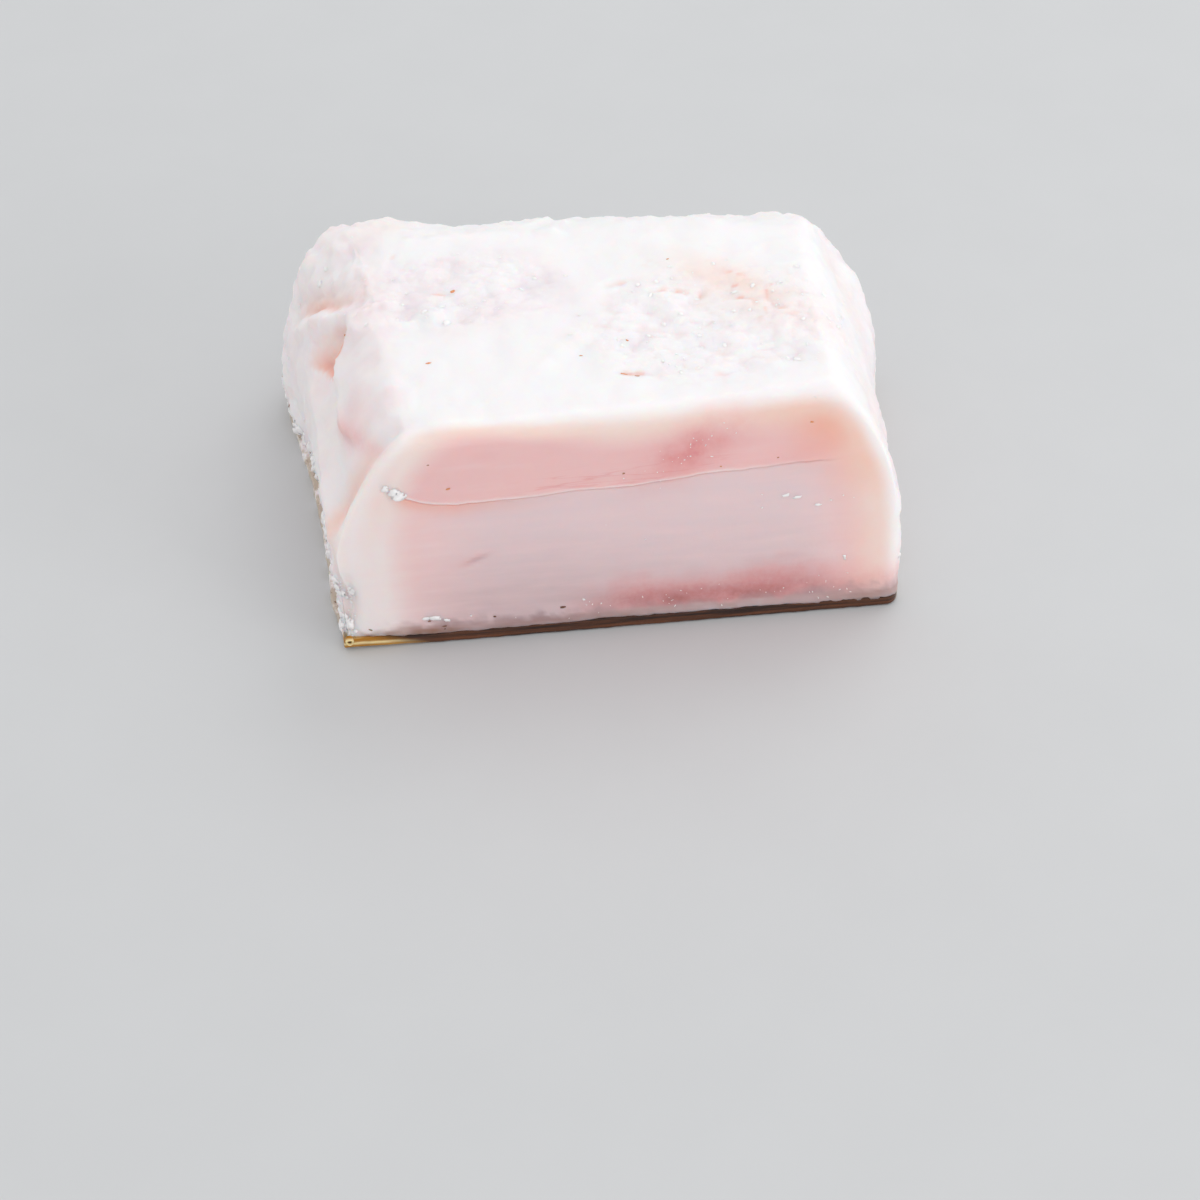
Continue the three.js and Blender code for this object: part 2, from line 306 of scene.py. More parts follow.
def seam_height(x):
    """Height of the seam across the cut: it rises evenly to the right and is turned up
    exponentially at its left end."""
    turned_up = SEAM["turned_up"] * np.exp(-(np.maximum(x, LEFT_END) - SEAM["place"]) / SEAM["reach"])
    return SEAM["height"] + SEAM["slope"] * (x - LEFT_END) + turned_up


def cut_edges(z, size):
    """X of the cut's left and right edge at each height: the two shoulders' curves solved for the
    drop, and upright below them."""
    edges = []
    for shoulder in (LEFT_SHOULDER, RIGHT_SHOULDER):
        under = np.maximum(size.height - z, 0)
        drop = (under + np.sqrt(under ** 2 + 4 * shoulder["soft"] * under)) / 2
        share = np.clip(1 - drop / shoulder["down"], 0, 1)
        curve = (1 - share ** shoulder["power"]) ** (1 / shoulder["power"])
        edges.append(size.width / 2 - shoulder["inward"] * (1 - curve))
    return -edges[0], edges[1]


def depth_in_cut(p, size):
    """How far a point of the cut lies inside its outline, in units of the pale rim's width, which
    differs between the left, the right and the top edge: 1 / sqrt(sum of 1 / distance^2).
    The pale rim is painted glow of light through the thin edges of the cut."""
    left, right = cut_edges(p[:, 2], size)
    to_left = np.maximum(p[:, 0] - left, 0.01) / (4.2 + 0.6 * smooth(42, 36, p[:, 2]))
    to_right = np.maximum(right - p[:, 0], 0.01) / 3.8
    to_top = np.maximum(size.height - p[:, 2], 0.01) / (0.5 + 2.5 * smooth(-38, 6, p[:, 0]))
    return (to_left ** -2 + to_right ** -2 + to_top ** -2) ** -0.5


# ---------------------------------------------------------------- relief


def groove_over_rind(p, size):
    """A narrow hollow just above the rind on the walls: a bell over the height."""
    return -0.5 * bell(p[:, 2] - size.rind - 1.3, 0.9) * smooth(1, 12, p[:, 1])


def over_seam(p):
    """Height over the seam, which wavers with two waves of noise along the cut."""
    waver = 0.5 * noise(p * (1, 0, 0), 9.0) + 0.18 * noise(p * (1, 0, 0), 2.3, 4.0)
    return p[:, 2] - seam_height(p[:, 0]) - waver


def seam_relief(p):
    """The fat above the seam stands out and fades upwards, over a narrow cleft."""
    x, y, _ = p.T
    along = smooth(-50, -45, x) * (1 - smooth(28, 48, x)) * (1 - smooth(0.2, 1, y))
    above = over_seam(p)
    bulge = 0.2 * bell(above - 0.3, 0.5) + 0.3 * (1 - smooth(0, 7, above))
    cleft = 0.35 * bell(above + 0.25, 0.35)
    return along * (smooth(-0.15, 0.15, above) * bulge - cleft)


def left_forms(p):
    """Distances of a point from the torn forms of the left shoulder, all wavering with noise: over
    the lobe's edge, past the lobe's end, over the pocket's sill and past the torn flap's edge,
    which is a slanting line capped by a level one."""
    _, y, z = p.T
    waver = 0.9 * noise(p, 5.0, 3.0) + 0.5 * noise(p, 1.9, 6.0)
    over_lobe = z - 43.8 - 0.017 * (y - 26) ** 2 + 0.5 * waver
    past_lobe = 0.85 * (y - 38.3 - 0.7 * (z - 45)) + 0.6 * waver
    over_sill = z - 45.0 + 0.54 * (y - 36.3) + 0.5 * waver
    past_flap = np.maximum(y - 60 + 1.05 * (z - 41.8), 1.2 * (z - 54.4) + 0.15 * (y - 42)) + waver
    return over_lobe, past_lobe, over_sill, past_flap


def left_shoulder_relief(p, size):
    """Sum of bells and steps in the torn forms' distances: the cut's ragged ridge and the groove
    behind it, the fold along the wall, the lobe, the pocket, the torn flap and the wedge."""
    x, y, z = p.T
    over_lobe, past_lobe, over_sill, past_flap = left_forms(p)
    inside = np.maximum(x - cut_edges(z, size)[0], 0)
    ridge = (0.05 + 0.5 * ridged(p, 2.4, 41.0) ** 2) * bell(y - 0.3, 0.6) * bell(inside, 0.9)
    ridge = ridge * smooth(30, 36, z)
    groove = -1.6 * bell(y - 4.2, 2.6) * smooth(33, 39, z)
    ends = smooth(0, 2, y) * (1 - smooth(44, 54, y))
    fold = 1.8 * bell(z - 31.3 - 0.105 * y, 2.8) * ends
    on_lobe = smooth(8, 17, y) * smooth(0.8, -0.4, past_lobe)
    swelling = 1.1 * (1 - smooth(4, 13, over_lobe)) + 0.5 * bell(over_lobe - 0.7, 1.0)
    lobe = smooth(-0.6, 0.9, over_lobe) * swelling
    floor = smooth(-0.4, 1.4, past_lobe) * bell(np.maximum(past_lobe - 3, 0), 7)
    pocket = -3.4 * floor * smooth(-0.6, 2.2, over_sill) * smooth(-3.0, -6.5, past_flap)
    flap = (1.2 * bell(past_flap + 1.5, 3.6) + 0.5 * bell(past_flap + 0.8, 1.3)) * smooth(30, 34, z)
    flap = flap * smooth(37, 40, y)
    wedge = -1.9 * smooth(0.8, 4.5, past_flap) * (1 - smooth(8, 14, past_flap)) * bell(z - 44, 7)
    folds = 0.45 * noise(p, 6.5, 91.0) + 0.3 * ridged(p * (1, 0.7, 1), 4.0, 93.0)
    return (
        smooth(-36, -46, x) * (ridge + groove + fold + lobe * on_lobe + pocket + flap + wedge)
        + smooth(-34, -44, x) * smooth(28, 36, z) * smooth(1, 5, y) * (folds - 0.2)
    )


def worn_edge(p):
    """How far the lower left edge of the cut is worn away, as much to the right as backwards: a
    bell round the edge and a bell over the height."""
    x, y, z = p.T
    worn = 2.5 * bell(np.hypot(x - LEFT_END, y), 2.8) * bell(z - 12, 8)
    return np.outer(worn, (1, 1, 0))


def outline_relief(p):
    """Sum of round bells, one for each knoll or notch."""
    return sum(height * bell(np.linalg.norm(p - place, axis=1), reach)
               for height, place, reach in KNOLLS)


def oval(p, place, reaches, soft):
    """1 within an ellipse in plan and 0 outside it; the edge lies between two shares of its
    reaches."""
    x, y, _ = p.T
    return 1 - smooth(*soft, np.hypot((x - place[0]) / reaches[0], (y - place[1]) / reaches[1]))


def right_patch(p):
    """Share of the crumbly patch on the right of the top, as an oval."""
    return oval(p, (25, 27), (30, 20), (0.7, 1.2))


def on_top(p):
    """1 on the top, fading down the walls."""
    return smooth(44, 50, p[:, 2])


def crumbly(p):
    """Share of crumbly, torn fat on the top: two ovals, the larger counts."""
    left_patch = oval(p, (-28, 48), (24, 13), (0.7, 1.25))
    return np.maximum(left_patch, right_patch(p)) * on_top(p)


def crevices(p):
    """Depth and stain of the crevices: each is a bell over a turned ellipse, warped by noise."""
    x = p[:, 0] + 0.7 * noise(p, 2.4, 11.0)
    y = p[:, 1] + 0.7 * noise(p, 2.4, 17.0)
    depth = np.zeros(len(p))
    stain = np.zeros(len(p))
    for centre_x, centre_y, length, width, turn, deep, red in CREVICES:
        along = (x - centre_x) * np.cos(turn) + (y - centre_y) * np.sin(turn)
        across = (y - centre_y) * np.cos(turn) - (x - centre_x) * np.sin(turn)
        shape = np.exp(-((along / length) ** 2) - (across / width) ** 2) * on_top(p)
        depth += deep * shape
        stain = np.maximum(stain, red * shape)
    return depth, stain


def rough_relief(p):
    """Sums of noise: lumps all round, crags on the walls and crumbs on the patches of the top. The
    cut has only a faint swell."""
    off_cut = smooth(0.5, 5, p[:, 1])
    lumps = 0.7 * noise(p, 21.0) + 0.4 * noise(p + (50, 0, 0), 9.0)
    crags = 0.35 * noise(p + (0, 80, 0), 5.0) * (1 - smooth(40, 52, p[:, 2]))
    crumbs = crumbly(p) * (0.9 * noise(p + (0, 0, 90), 5.5) - 0.4)
    return off_cut * (lumps + crags + crumbs) + 0.25 * noise(p * (1, 0, 1), 24.0) * (1 - off_cut)


def fine_relief(p):
    """Grain finer than the solid's faces, as sums of noise: crumbs on the patches, tears on the
    left shoulder, crags on the walls, a ragged outline at the back, the salt crust, and on the cut
    faint knife marks and one gouge, a slanting hollow with a raised edge."""
    x, y, z = p.T
    off_cut = smooth(0.3, 2.5, y)
    patch = crumbly(p)
    crumbs = patch * (0.55 * pebbles(p, 3.4, 5.0) + 0.35 * pebbles(p, 1.9, 9.0) - 0.5)
    torn = smooth(-42, -47, x) * smooth(36, 44, y) * smooth(30, 36, z)
    tears = torn * (0.4 * ridged(p * (1, 0.6, 1), 2.6, 2.0) + 0.2 * noise(p, 1.2, 4.0) - 0.25)
    walls = 1 - smooth(20, 46, z)
    crags = walls * (0.3 * noise(p, 2.8, 6.0) + 0.18 * noise(p, 1.4, 8.0))
    rim = smooth(58, 70, y) * (0.55 * noise(p, 3.2, 13.0) + 0.35 * noise(p, 1.6, 14.0))
    crust = salted(p) * (1.1 * pebbles(p, 2.7, 33.0) + 0.5 * pebbles(p, 1.5, 35.0) - 0.8)
    right = smooth(45, 55, x) * (0.3 * noise(p, 2.2, 16.0) + 0.15 * noise(p, 1.1, 18.0))
    skin = 0.28 * noise(p, 4.5, 21.0) + 0.2 * ridged(p, 7.0, 22.0) + 0.08 * noise(p, 1.8, 23.0)
    knife = 0.05 * noise(p * (0.08, 0, 1), 1.5, 31.0)
    slant = z - 23.0 - 0.45 * (x + 31.1)
    knife += bell(x + 31.1, 2.4) * (0.4 * bell(slant - 0.7, 0.7) - 0.6 * bell(slant + 0.5, 0.7))
    return off_cut * (crumbs + tears + crags + rim + crust + right + skin) + (1 - off_cut) * knife


def salted(p):
    """Share of salt crust on the foot of the left wall, with a wavering upper edge."""
    x, y, z = p.T
    top = 17 - 6 * smooth(12, 60, y) + 3.5 * noise(p * (1, 1, 0), 9.0, 37.0)
    behind = np.maximum(smooth(0.3, 2.5, y), smooth(-57.6, -59, x))
    return smooth(-50, -56, x) * behind * smooth(2.4, 3.4, z) * (1 - smooth(-3, 1.5, z - top))


# ---------------------------------------------------------------- surfaces


def crowded(count, centre, reach, gain):
    """Shares from 0 to 1 whose density is 1 + gain * bell round the centre: the inverse of the
    running sum of the density."""
    fine = np.linspace(0, 1, 2001)
    total = np.concatenate([[0], np.cumsum(1 + gain * bell(fine[1:] - centre, reach))])
    return np.interp(np.linspace(0, 1, count), total / total[-1], fine)


def rim_indices(columns, lines):
    """Column and line of each point on the rim of a grid, anticlockwise from the front left. Over
    the steps round the rim each rises, stays at its end, falls and stays at 0."""
    right = columns - 1
    far = lines - 1
    step = np.arange(2 * (right + far))
    i = np.clip(np.minimum(step, 2 * right + far - step), 0, right)
    j = np.clip(np.minimum(step - right, len(step) - step), 0, far)
    return i, j


def band_quads(upper, lower):
    """Quads between two closed loops of vertex indices, the upper one first."""
    return np.stack([upper, lower, np.roll(lower, -1), np.roll(upper, -1)], axis=-1)


def fan_triangles(centre, first, second):
    """Triangles between one vertex and each pair of the two lists."""
    return np.stack([np.full(len(first), centre), first, second], axis=-1)


def face_vectors(points, quads):
    """Cross product of each quad's diagonals: along its normal, and twice its area long."""
    corners = points[quads]
    return np.cross(corners[:, 2] - corners[:, 0], corners[:, 3] - corners[:, 1])


def vertex_normals(points, quads):
    """Mean of the faces' vectors round each vertex, one unit long."""
    face = face_vectors(points, quads)
    normals = np.zeros_like(points)
    for corner in range(4):
        np.add.at(normals, quads[:, corner], face)
    return normals / np.maximum(np.linalg.norm(normals, axis=1, keepdims=True), 1e-12)


@dataclasses.dataclass
class Skin:
    """Points before and after their relief, quads, closing triangles and normals."""

    plain: np.ndarray
    points: np.ndarray
    quads: np.ndarray
    fan: np.ndarray
    normals: np.ndarray


@functools.lru_cache
def fat_surface(size, steps):
    """The fat's skin above the rind, as a Skin.

    The top is a grid whose height is the block's less the p-norm of the two axes' drops. The
    walls hang from its rim in rows that crowd together at the seam's height, and a fan closes the
    underside.
    """
    across, drop_x = shouldered_axis(size.width, LEFT_SHOULDER, RIGHT_SHOULDER, steps.across)
    backward, drop_y = shouldered_axis(size.depth, FRONT_SHOULDER, BACK_SHOULDER, steps.backward)
    columns, lines = len(across), len(backward)
    drop = drop_x[None, :] ** SHOULDER_BLEND + drop_y[:, None] ** SHOULDER_BLEND
    top = size.height - drop ** (1 / SHOULDER_BLEND)
    x = across - size.width / 2
    grid = np.arange(columns * lines).reshape(lines, columns)
    i, j = rim_indices(columns, lines)
    floor = size.rind - steps.overlap
    shares = 1 - crowded(steps.rows, 1 - steps.seam_share, steps.crowd_reach, steps.crowd_gain)[1:]
    rim = top[j, i]
    seam = np.minimum(seam_height(x[i]), floor + steps.highest_seam * (rim - floor))
    heights = np.where(
        shares[:, None] < steps.seam_share,
        floor + (seam - floor) * shares[:, None] / steps.seam_share,
        seam + (rim - seam) * (shares[:, None] - steps.seam_share) / (1 - steps.seam_share),
    )
    walls = columns * lines + np.arange(len(shares) * len(i)).reshape(len(shares), len(i))
    loops = np.concatenate([grid[j, i][None, :], walls])
    last = loops[-1]
    points = np.concatenate([
        block_points(x[None, :], backward[:, None], top, size),
        block_points(x[i][None, :], backward[j][None, :], heights, size),
    ])
    quads = np.concatenate([
        np.stack([grid[:-1, :-1], grid[:-1, 1:], grid[1:, 1:], grid[1:, :-1]], -1).reshape(-1, 4),
        band_quads(loops[:-1], loops[1:]).reshape(-1, 4),
    ])
    normals = vertex_normals(points, quads)
    depth, _ = crevices(points)
    relief = groove_over_rind(points, size) + seam_relief(points) + left_shoulder_relief(points, size)
    relief += outline_relief(points) + rough_relief(points) + fine_relief(points) - depth
    centre = [[0, size.depth / 2, floor]]
    plain = np.concatenate([points, centre])
    points = points + normals * relief[:, None] + worn_edge(points)
    points[last, 2] = floor
    fan = fan_triangles(len(points), np.roll(last, -1), last)
    points = np.concatenate([lean_cut(points, size), centre])
    return Skin(plain, points, quads, fan, vertex_normals(points, quads))


def vertex_areas(points, quads):
    """Area round each vertex: a quarter of each quad's, which is half the length of its vector."""
    share = np.linalg.norm(face_vectors(points, quads), axis=1) / 8
    return np.bincount(quads.ravel(), np.repeat(share, 4), len(points))


def nearest(points, places):
    """Index of the point nearest to each place."""
    gaps = np.linalg.norm(points[None, :, :] - np.asarray(places)[:, None, :], axis=2)
    return gaps.argmin(axis=1)


def rind_surface(size, steps):
    """Points, quads and triangles of the rind: a rounded edge profile carried round the block's
    outline at the table, closed by a fan above and one below.

    The edge stands out by a lip that is widest on the left. On the cut it stands only just before
    the fat, is thicker, with a wavering upper edge, and its foot is lifted a little off the table.
    """
    across, _ = shouldered_axis(size.width, LEFT_SHOULDER, RIGHT_SHOULDER, steps.across)
    backward, _ = shouldered_axis(size.depth, FRONT_SHOULDER, BACK_SHOULDER, steps.backward)
    i, j = rim_indices(len(across), len(backward))
    ring = block_points((across - size.width / 2)[i], backward[j], np.zeros(len(i)), size)
    tangent = np.roll(ring, -1, axis=0) - np.roll(ring, 1, axis=0)
    outward = np.stack([tangent[:, 1], -tangent[:, 0], 0 * tangent[:, 0]], axis=-1)
    outward /= np.linalg.norm(outward, axis=1, keepdims=True)
    off_cut = smooth(1, 12, ring[:, 1])
    on_left = smooth(-30, -55, ring[:, 0])
    lip = off_cut * (0.5 + 0.7 * on_left + 0.3 * noise(ring, 7.0)) + 0.2 * (1 - off_cut)
    lip += outline_relief(ring + (0, 0, 2.0)) * smooth(0.5, 5, ring[:, 1])
    lip += off_cut * (0.5 * noise(ring, 21.0) + 0.3 * noise(ring + (50, 0, 0), 9.0))
    angle = np.linspace(-np.pi / 2, np.pi / 2, steps.edge_rows)
    inset = 4.0 * smooth(0.8, 1, np.abs(angle) / (np.pi / 2)) + 0.45 * (1 - np.cos(angle))
    height = size.rind / 2 * (1 + np.clip(1.6 * np.sin(angle), -1, 1))
    thicker = 0.14 + 0.24 * smooth(-44, -56, ring[:, 0]) + 0.08 * noise(ring, 4.0, 2.0)
    thicker = (thicker + 0.06 * noise(ring, 1.1, 6.0)) * (1 - off_cut)
    lifted = (0.35 + 0.5 * smooth(-38, -58, ring[:, 0])) * (1 - off_cut)
    points = ring[None, :, :] + outward[None, :, :] * (lip[None, :, None] - inset[:, None, None])
    points[:, :, 2] = height[:, None] * (1 + thicker) + lifted * (1 - height[:, None] / size.rind)
    flat = points.reshape(-1, 3)
    ragged = 0.22 * noise(flat, 1.7, 3.0) + 0.12 * noise(flat, 0.9, 5.0)
    edge = smooth(0.9, 0.5, np.abs(angle) / (np.pi / 2))
    swell = (ragged.reshape(len(angle), -1) * edge[:, None])[..., None]
    points = points + outward[None, :, :] * swell * (0.3 + 0.7 * off_cut[None, :, None])
    loops = np.arange(points.shape[0] * points.shape[1]).reshape(points.shape[:2])
    quads = band_quads(loops[1:], loops[:-1]).reshape(-1, 4)
    points = points.reshape(-1, 3)
    middle = size.depth / 2
    caps = np.array([[0, middle, 0], [0, middle, size.rind]])
    below = fan_triangles(len(points), np.roll(loops[0], -1), loops[0])
    above = fan_triangles(len(points) + 1, loops[-1], np.roll(loops[-1], -1))
    return np.concatenate([points, caps]), quads, np.concatenate([below, above])


def rolled_tip(centre, radius, tube, length, steps):
    """The rind's rolled end: a torus with an oval section, (radius + tube * cos v) * (cos u, sin u)
    across the cut, with three faint corners, and length * sin v along Y."""
    u = np.linspace(0, 2 * np.pi, 2 * steps, endpoint=False)[:, None]
    v = np.linspace(0, 2 * np.pi, steps, endpoint=False)[None, :]
    out = (radius + tube * np.cos(v)) * (1 + 0.08 * np.sin(3 * u))
    along = np.broadcast_to(length * np.sin(v), out.shape)
    points = np.stack([out * np.cos(u), along, out * np.sin(u)], axis=-1)
    loops = np.arange(points.shape[0] * points.shape[1]).reshape(points.shape[:2])
    quads = band_quads(loops, np.roll(loops, -1, axis=0)).reshape(-1, 4)
    return points.reshape(-1, 3) + centre, quads, np.zeros((0, 3), int)


def lumps(centres, normals, sizes, turns, rings, sides, ragged, seed):
    """Small closed bodies as one set of points, quads and triangles.

    Each is an ellipsoid over polar angle and turn, a * sin * cos, b * sin * sin, c * cos, laid
    with c along its normal, turned about it from the X axis and scaled by seeded random factors at
    its vertices.
    """
    count = len(centres)
    random = np.random.default_rng(seed)
    polar = np.linspace(0, np.pi, rings + 1)[1:-1]
    turn = np.linspace(0, 2 * np.pi, sides, endpoint=False)
    body = np.stack([
        np.outer(np.sin(polar), np.cos(turn)),
        np.outer(np.sin(polar), np.sin(turn)),
        np.outer(np.cos(polar), np.ones(sides)),
    ], axis=-1).reshape(-1, 3)
    body = np.concatenate([body, [[0, 0, 1], [0, 0, -1]]])
    local = body[None] * (1 + ragged * random.uniform(-1, 1, (count, len(body), 1)))
    local = local * sizes[:, None, :]
    helper = np.where(np.abs(normals[:, :1]) < 0.8, [[1.0, 0, 0]], [[0, 1.0, 0]])
    side = helper - normals * np.sum(helper * normals, axis=1, keepdims=True)
    side /= np.linalg.norm(side, axis=1, keepdims=True)
    other = np.cross(normals, side)
    cos, sin = np.cos(turns)[:, None], np.sin(turns)[:, None]
    axes = np.stack([side * cos + other * sin, other * cos - side * sin, normals], axis=1)
    points = centres[:, None, :] + np.einsum("nvk,nkd->nvd", local, axes)
    rows = np.arange((rings - 1) * sides).reshape(rings - 1, sides)
    north, south = (rings - 1) * sides, (rings - 1) * sides + 1
    quads = band_quads(rows[:-1], rows[1:]).reshape(-1, 4)
    top_fan = fan_triangles(north, rows[0], np.roll(rows[0], -1))
    low_fan = fan_triangles(south, np.roll(rows[-1], -1), rows[-1])
    offset = (np.arange(count) * len(body))[:, None, None]
    quads = (quads[None] + offset).reshape(-1, 4)
    fans = (np.concatenate([top_fan, low_fan])[None] + offset).reshape(-1, 3)
    return points.reshape(-1, 3), quads, fans


def make_piece(name, points, quads, triangles, material, size, masks=None):
    """Puts the arrays into a mesh in metres in the part's frame, and hands the piece over."""
    mesh = bpy.data.meshes.new(name)
    mesh.vertices.add(len(points))
    mesh.vertices.foreach_set("co", ((points - (0, size.depth / 2, 0)) * MM).ravel())
    mesh.loops.add(quads.size + triangles.size)
    mesh.loops.foreach_set("vertex_index", np.concatenate([quads.ravel(), triangles.ravel()]))
    starts = [np.arange(len(quads)) * 4, quads.size + np.arange(len(triangles)) * 3]
    mesh.polygons.add(len(quads) + len(triangles))
    mesh.polygons.foreach_set("loop_start", np.concatenate(starts))
    mesh.polygons.foreach_set("use_smooth", np.ones(len(mesh.polygons), bool))
    mesh.update(calc_edges=True)
    for mask, values in (masks or {}).items():
        attribute = mesh.attributes.new(mask, "FLOAT", "POINT")
        attribute.data.foreach_set("value", values.astype(np.float32))
    mesh.materials.append(material)
    piece = bpy.data.objects.new(name, mesh)
    bpy.context.scene.collection.objects.link(piece)
    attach(piece, BODY)
    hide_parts(NODE)
    return piece


# ---------------------------------------------------------------- shader maths


class Value:
    """A number socket that takes part in Python arithmetic by adding Math nodes."""

    def __init__(self, shader, socket):
        self.shader = shader
        self.socket = socket

    def _math(self, operation, *others):
        sockets = dict(enumerate((self, *others)))
        return self.shader.node("ShaderNodeMath", {"operation": operation}, sockets)

    def __add__(self, other):
        return self._math("ADD", other)

    __radd__ = __add__

    def __mul__(self, other):
        return self._math("MULTIPLY", other)

    __rmul__ = __mul__

    def __sub__(self, other):
        return self._math("SUBTRACT", other)

    def __rsub__(self, other):
        return self * -1.0 + other

    def rise(self, low, high):
        """0 below low, 1 above high, smooth between."""
        settings = {"interpolation_type": "SMOOTHSTEP"}
        sockets = {"Value": self, "From Min": low, "From Max": high}
        return self.shader.node("ShaderNodeMapRange", settings, sockets)

    def clamp(self):
        return self.shader.node("ShaderNodeClamp", {}, {"Value": self})

    def __abs__(self):
        return self._math("ABSOLUTE")


class Shader:
    """A material whose nodes are added one call at a time."""

    def __init__(self, name):
        self.material = bpy.data.materials.new(name)
        self.material.use_nodes = True
        self.tree = self.material.node_tree
        self.tree.nodes.clear()
        self.output = self.tree.nodes.new("ShaderNodeOutputMaterial")

    def node(self, kind, settings, sockets, output=0):
        """Adds a node, makes its settings, then sets or links its sockets, and returns an output."""
        node = self.tree.nodes.new(kind)
        for name, value in settings.items():
            setattr(node, name, value)
        for name, value in sockets.items():
            if isinstance(value, Value):
                self.tree.links.new(value.socket, node.inputs[name])
            else:
                node.inputs[name].default_value = value
        return Value(self, node.outputs[output])

    def place(self):
        return self.node("ShaderNodeTexCoord", {}, {}, "Object")

    def mask(self, name):
        settings = {"attribute_name": name, "attribute_type": "GEOMETRY"}
        return self.node("ShaderNodeAttribute", settings, {}, "Fac")

    def mix(self, factor, first, second):
        """Colour between the first, at factor 0, and the second, at factor 1."""
        settings = {"data_type": "RGBA", "clamp_factor": True}
        return self.node("ShaderNodeMix", settings, {0: factor, 6: opaque(first), 7: opaque(second)}, 2)

    def cloud(self, place, scale, detail=3.0, roughness=0.55):
        """Noise from 0 to 1 with the given number of waves a metre."""
        sockets = {"Vector": place, "Scale": scale, "Detail": detail, "Roughness": roughness}
        return self.node("ShaderNodeTexNoise", {}, sockets, "Fac")

    def stretched(self, place, scales):
        """The place scaled along each axis."""
        return self.node("ShaderNodeMapping", {}, {"Vector": place, "Scale": scales}, "Vector")

    def bump(self, height, depth, strength):
        sockets = {"Height": height, "Distance": depth, "Strength": strength}
        return self.node("ShaderNodeBump", {}, sockets, "Normal")

    def surface(self, varying, constant):
        """Ends the tree in one Principled shader and returns the material."""
        shader = self.node("ShaderNodeBsdfPrincipled", {}, {**varying, **constant}, "BSDF")
        self.tree.links.new(shader.socket, self.output.inputs["Surface"])
        return self.material


def opaque(colour):
    """A plain colour with an alpha of 1, or a colour socket as it is."""
    return colour if isinstance(colour, Value) else (*colour, 1.0)


def subsurface(weight, radius, scale):
    """Sockets for light that spreads under a surface, the red, green and blue as far as the radius
    says, times the scale in metres."""
    return {"Subsurface Weight": weight, "Subsurface Radius": radius, "Subsurface Scale": scale}


def fat_material(colours):
    """Cured fat: white where it was trimmed, pink in the cut, stained in the crevices."""
    shader = Shader("cured_fat")
    place = shader.place()
    broad = shader.cloud(place, 90.0)
    streaks = shader.cloud(shader.stretched(place, (60.0, 60.0, 420.0)), 1.0, 4.0)
    grain = shader.cloud(place, 900.0, 4.0, 0.6)
    fibres = shader.cloud(shader.stretched(place, (45.0, 45.0, 620.0)), 1.0, 2.0)
    thread = 1.0 - abs(fibres - 0.5).rise(0.0, 0.035)
    colour = colours.fat_white
    for mask, share, stain in (
        # grey: the fat's faint lilac-grey, with painted shade in the top's hollows and dents
        ("grey", broad.rise(0.25, 0.6), colours.fat_grey),
        # peach: painted glow near the cut's edges, painted shade in the left wall's groove and under the
        # seam's lip, and real stains on the top
        ("peach", 0.75 + 0.5 * broad, colours.peach),
        ("cut", 0.8 + 0.4 * streaks, colours.cut_pink),
        ("mauve", 0.4 + 0.9 * streaks, colours.cut_mauve),
        # orange: real tissue in the tears, painted glow at the cut's top right corner, and painted shade
        # under the seam's lip and in the left wall's groove
        ("orange", 0.7 + 0.6 * broad, colours.orange),
        # red: real stains, the painted shadow in the gouge, and partly painted glow and shade low on the
        # right
        ("red", 0.6 + 0.8 * grain, colours.blood_red),
        # deep: red over the rind on the right, partly painted glow and shade
        ("deep", 0.5 + 0.9 * grain, colours.deep_red),
        # dark band over the rind, partly painted shade towards the bottom
        ("dark_band_and_shade", 0.35 + 1.1 * streaks, colours.dark_band_and_shade),
        ("rust", 0.2 + 1.2 * broad, colours.rust),
        ("fibre", 0.5 * thread, colours.blood_red),
        # lip: painted highlight on the edge of the fat above the seam
        ("lip", 0.15 + 0.4 * grain, colours.fat_white),
        ("line", 0.5 + 0.8 * grain, colours.seam_red),
    ):
        colour = shader.mix((shader.mask(mask) * share).clamp(), colour, stain)
    cut = shader.mask("cut")
    crumb = shader.mask("crumb")
    rough = 0.4 + 0.2 * grain + 0.15 * crumb
    bead = shader.node("ShaderNodeTexVoronoi", {}, {"Vector": place, "Scale": 620.0}, "Distance")
    height = grain * (0.3 + 0.4 * crumb) + 0.2 * streaks * cut - 0.2 * thread * shader.mask("fibre")
    height = height - 0.9 * bead * crumb
    varying = {"Base Color": colour, "Roughness": rough, "Normal": shader.bump(height, 0.00025, 0.6)}
    under = subsurface(0.85, (1.0, 0.55, 0.42), 0.003)
    return shader.surface(varying, {**under, "IOR": 1.44, "Specular IOR Level": 0.4})


def crumb_material(colours):
    """Loose crumbs of fat and salt: white, softly rough and a little clear."""
    shader = Shader("fat_crumb")
    grain = shader.cloud(shader.place(), 1200.0)
    colour = shader.mix(grain.rise(0.4, 0.8), colours.crumb, colours.fat_white)
    varying = {"Base Color": colour, "Roughness": 0.35 + 0.2 * grain}
    return shader.surface(varying, subsurface(0.2, (1.0, 0.9, 0.85), 0.0003))


def chip_material(colours):
    """Chips of dried tissue and skin, brown or orange by their own tone."""
    shader = Shader("tissue_chip")
    grain = shader.cloud(shader.place(), 900.0)
    tone = (shader.mask("tone") + 0.5 * (grain - 0.5)).clamp()
    colour = shader.mix(tone, colours.chip_brown, colours.chip_orange)
    varying = {"Base Color": colour, "Roughness": 0.35 + 0.2 * grain}
    return shader.surface(varying, subsurface(0.2, (1.0, 0.5, 0.3), 0.0002))


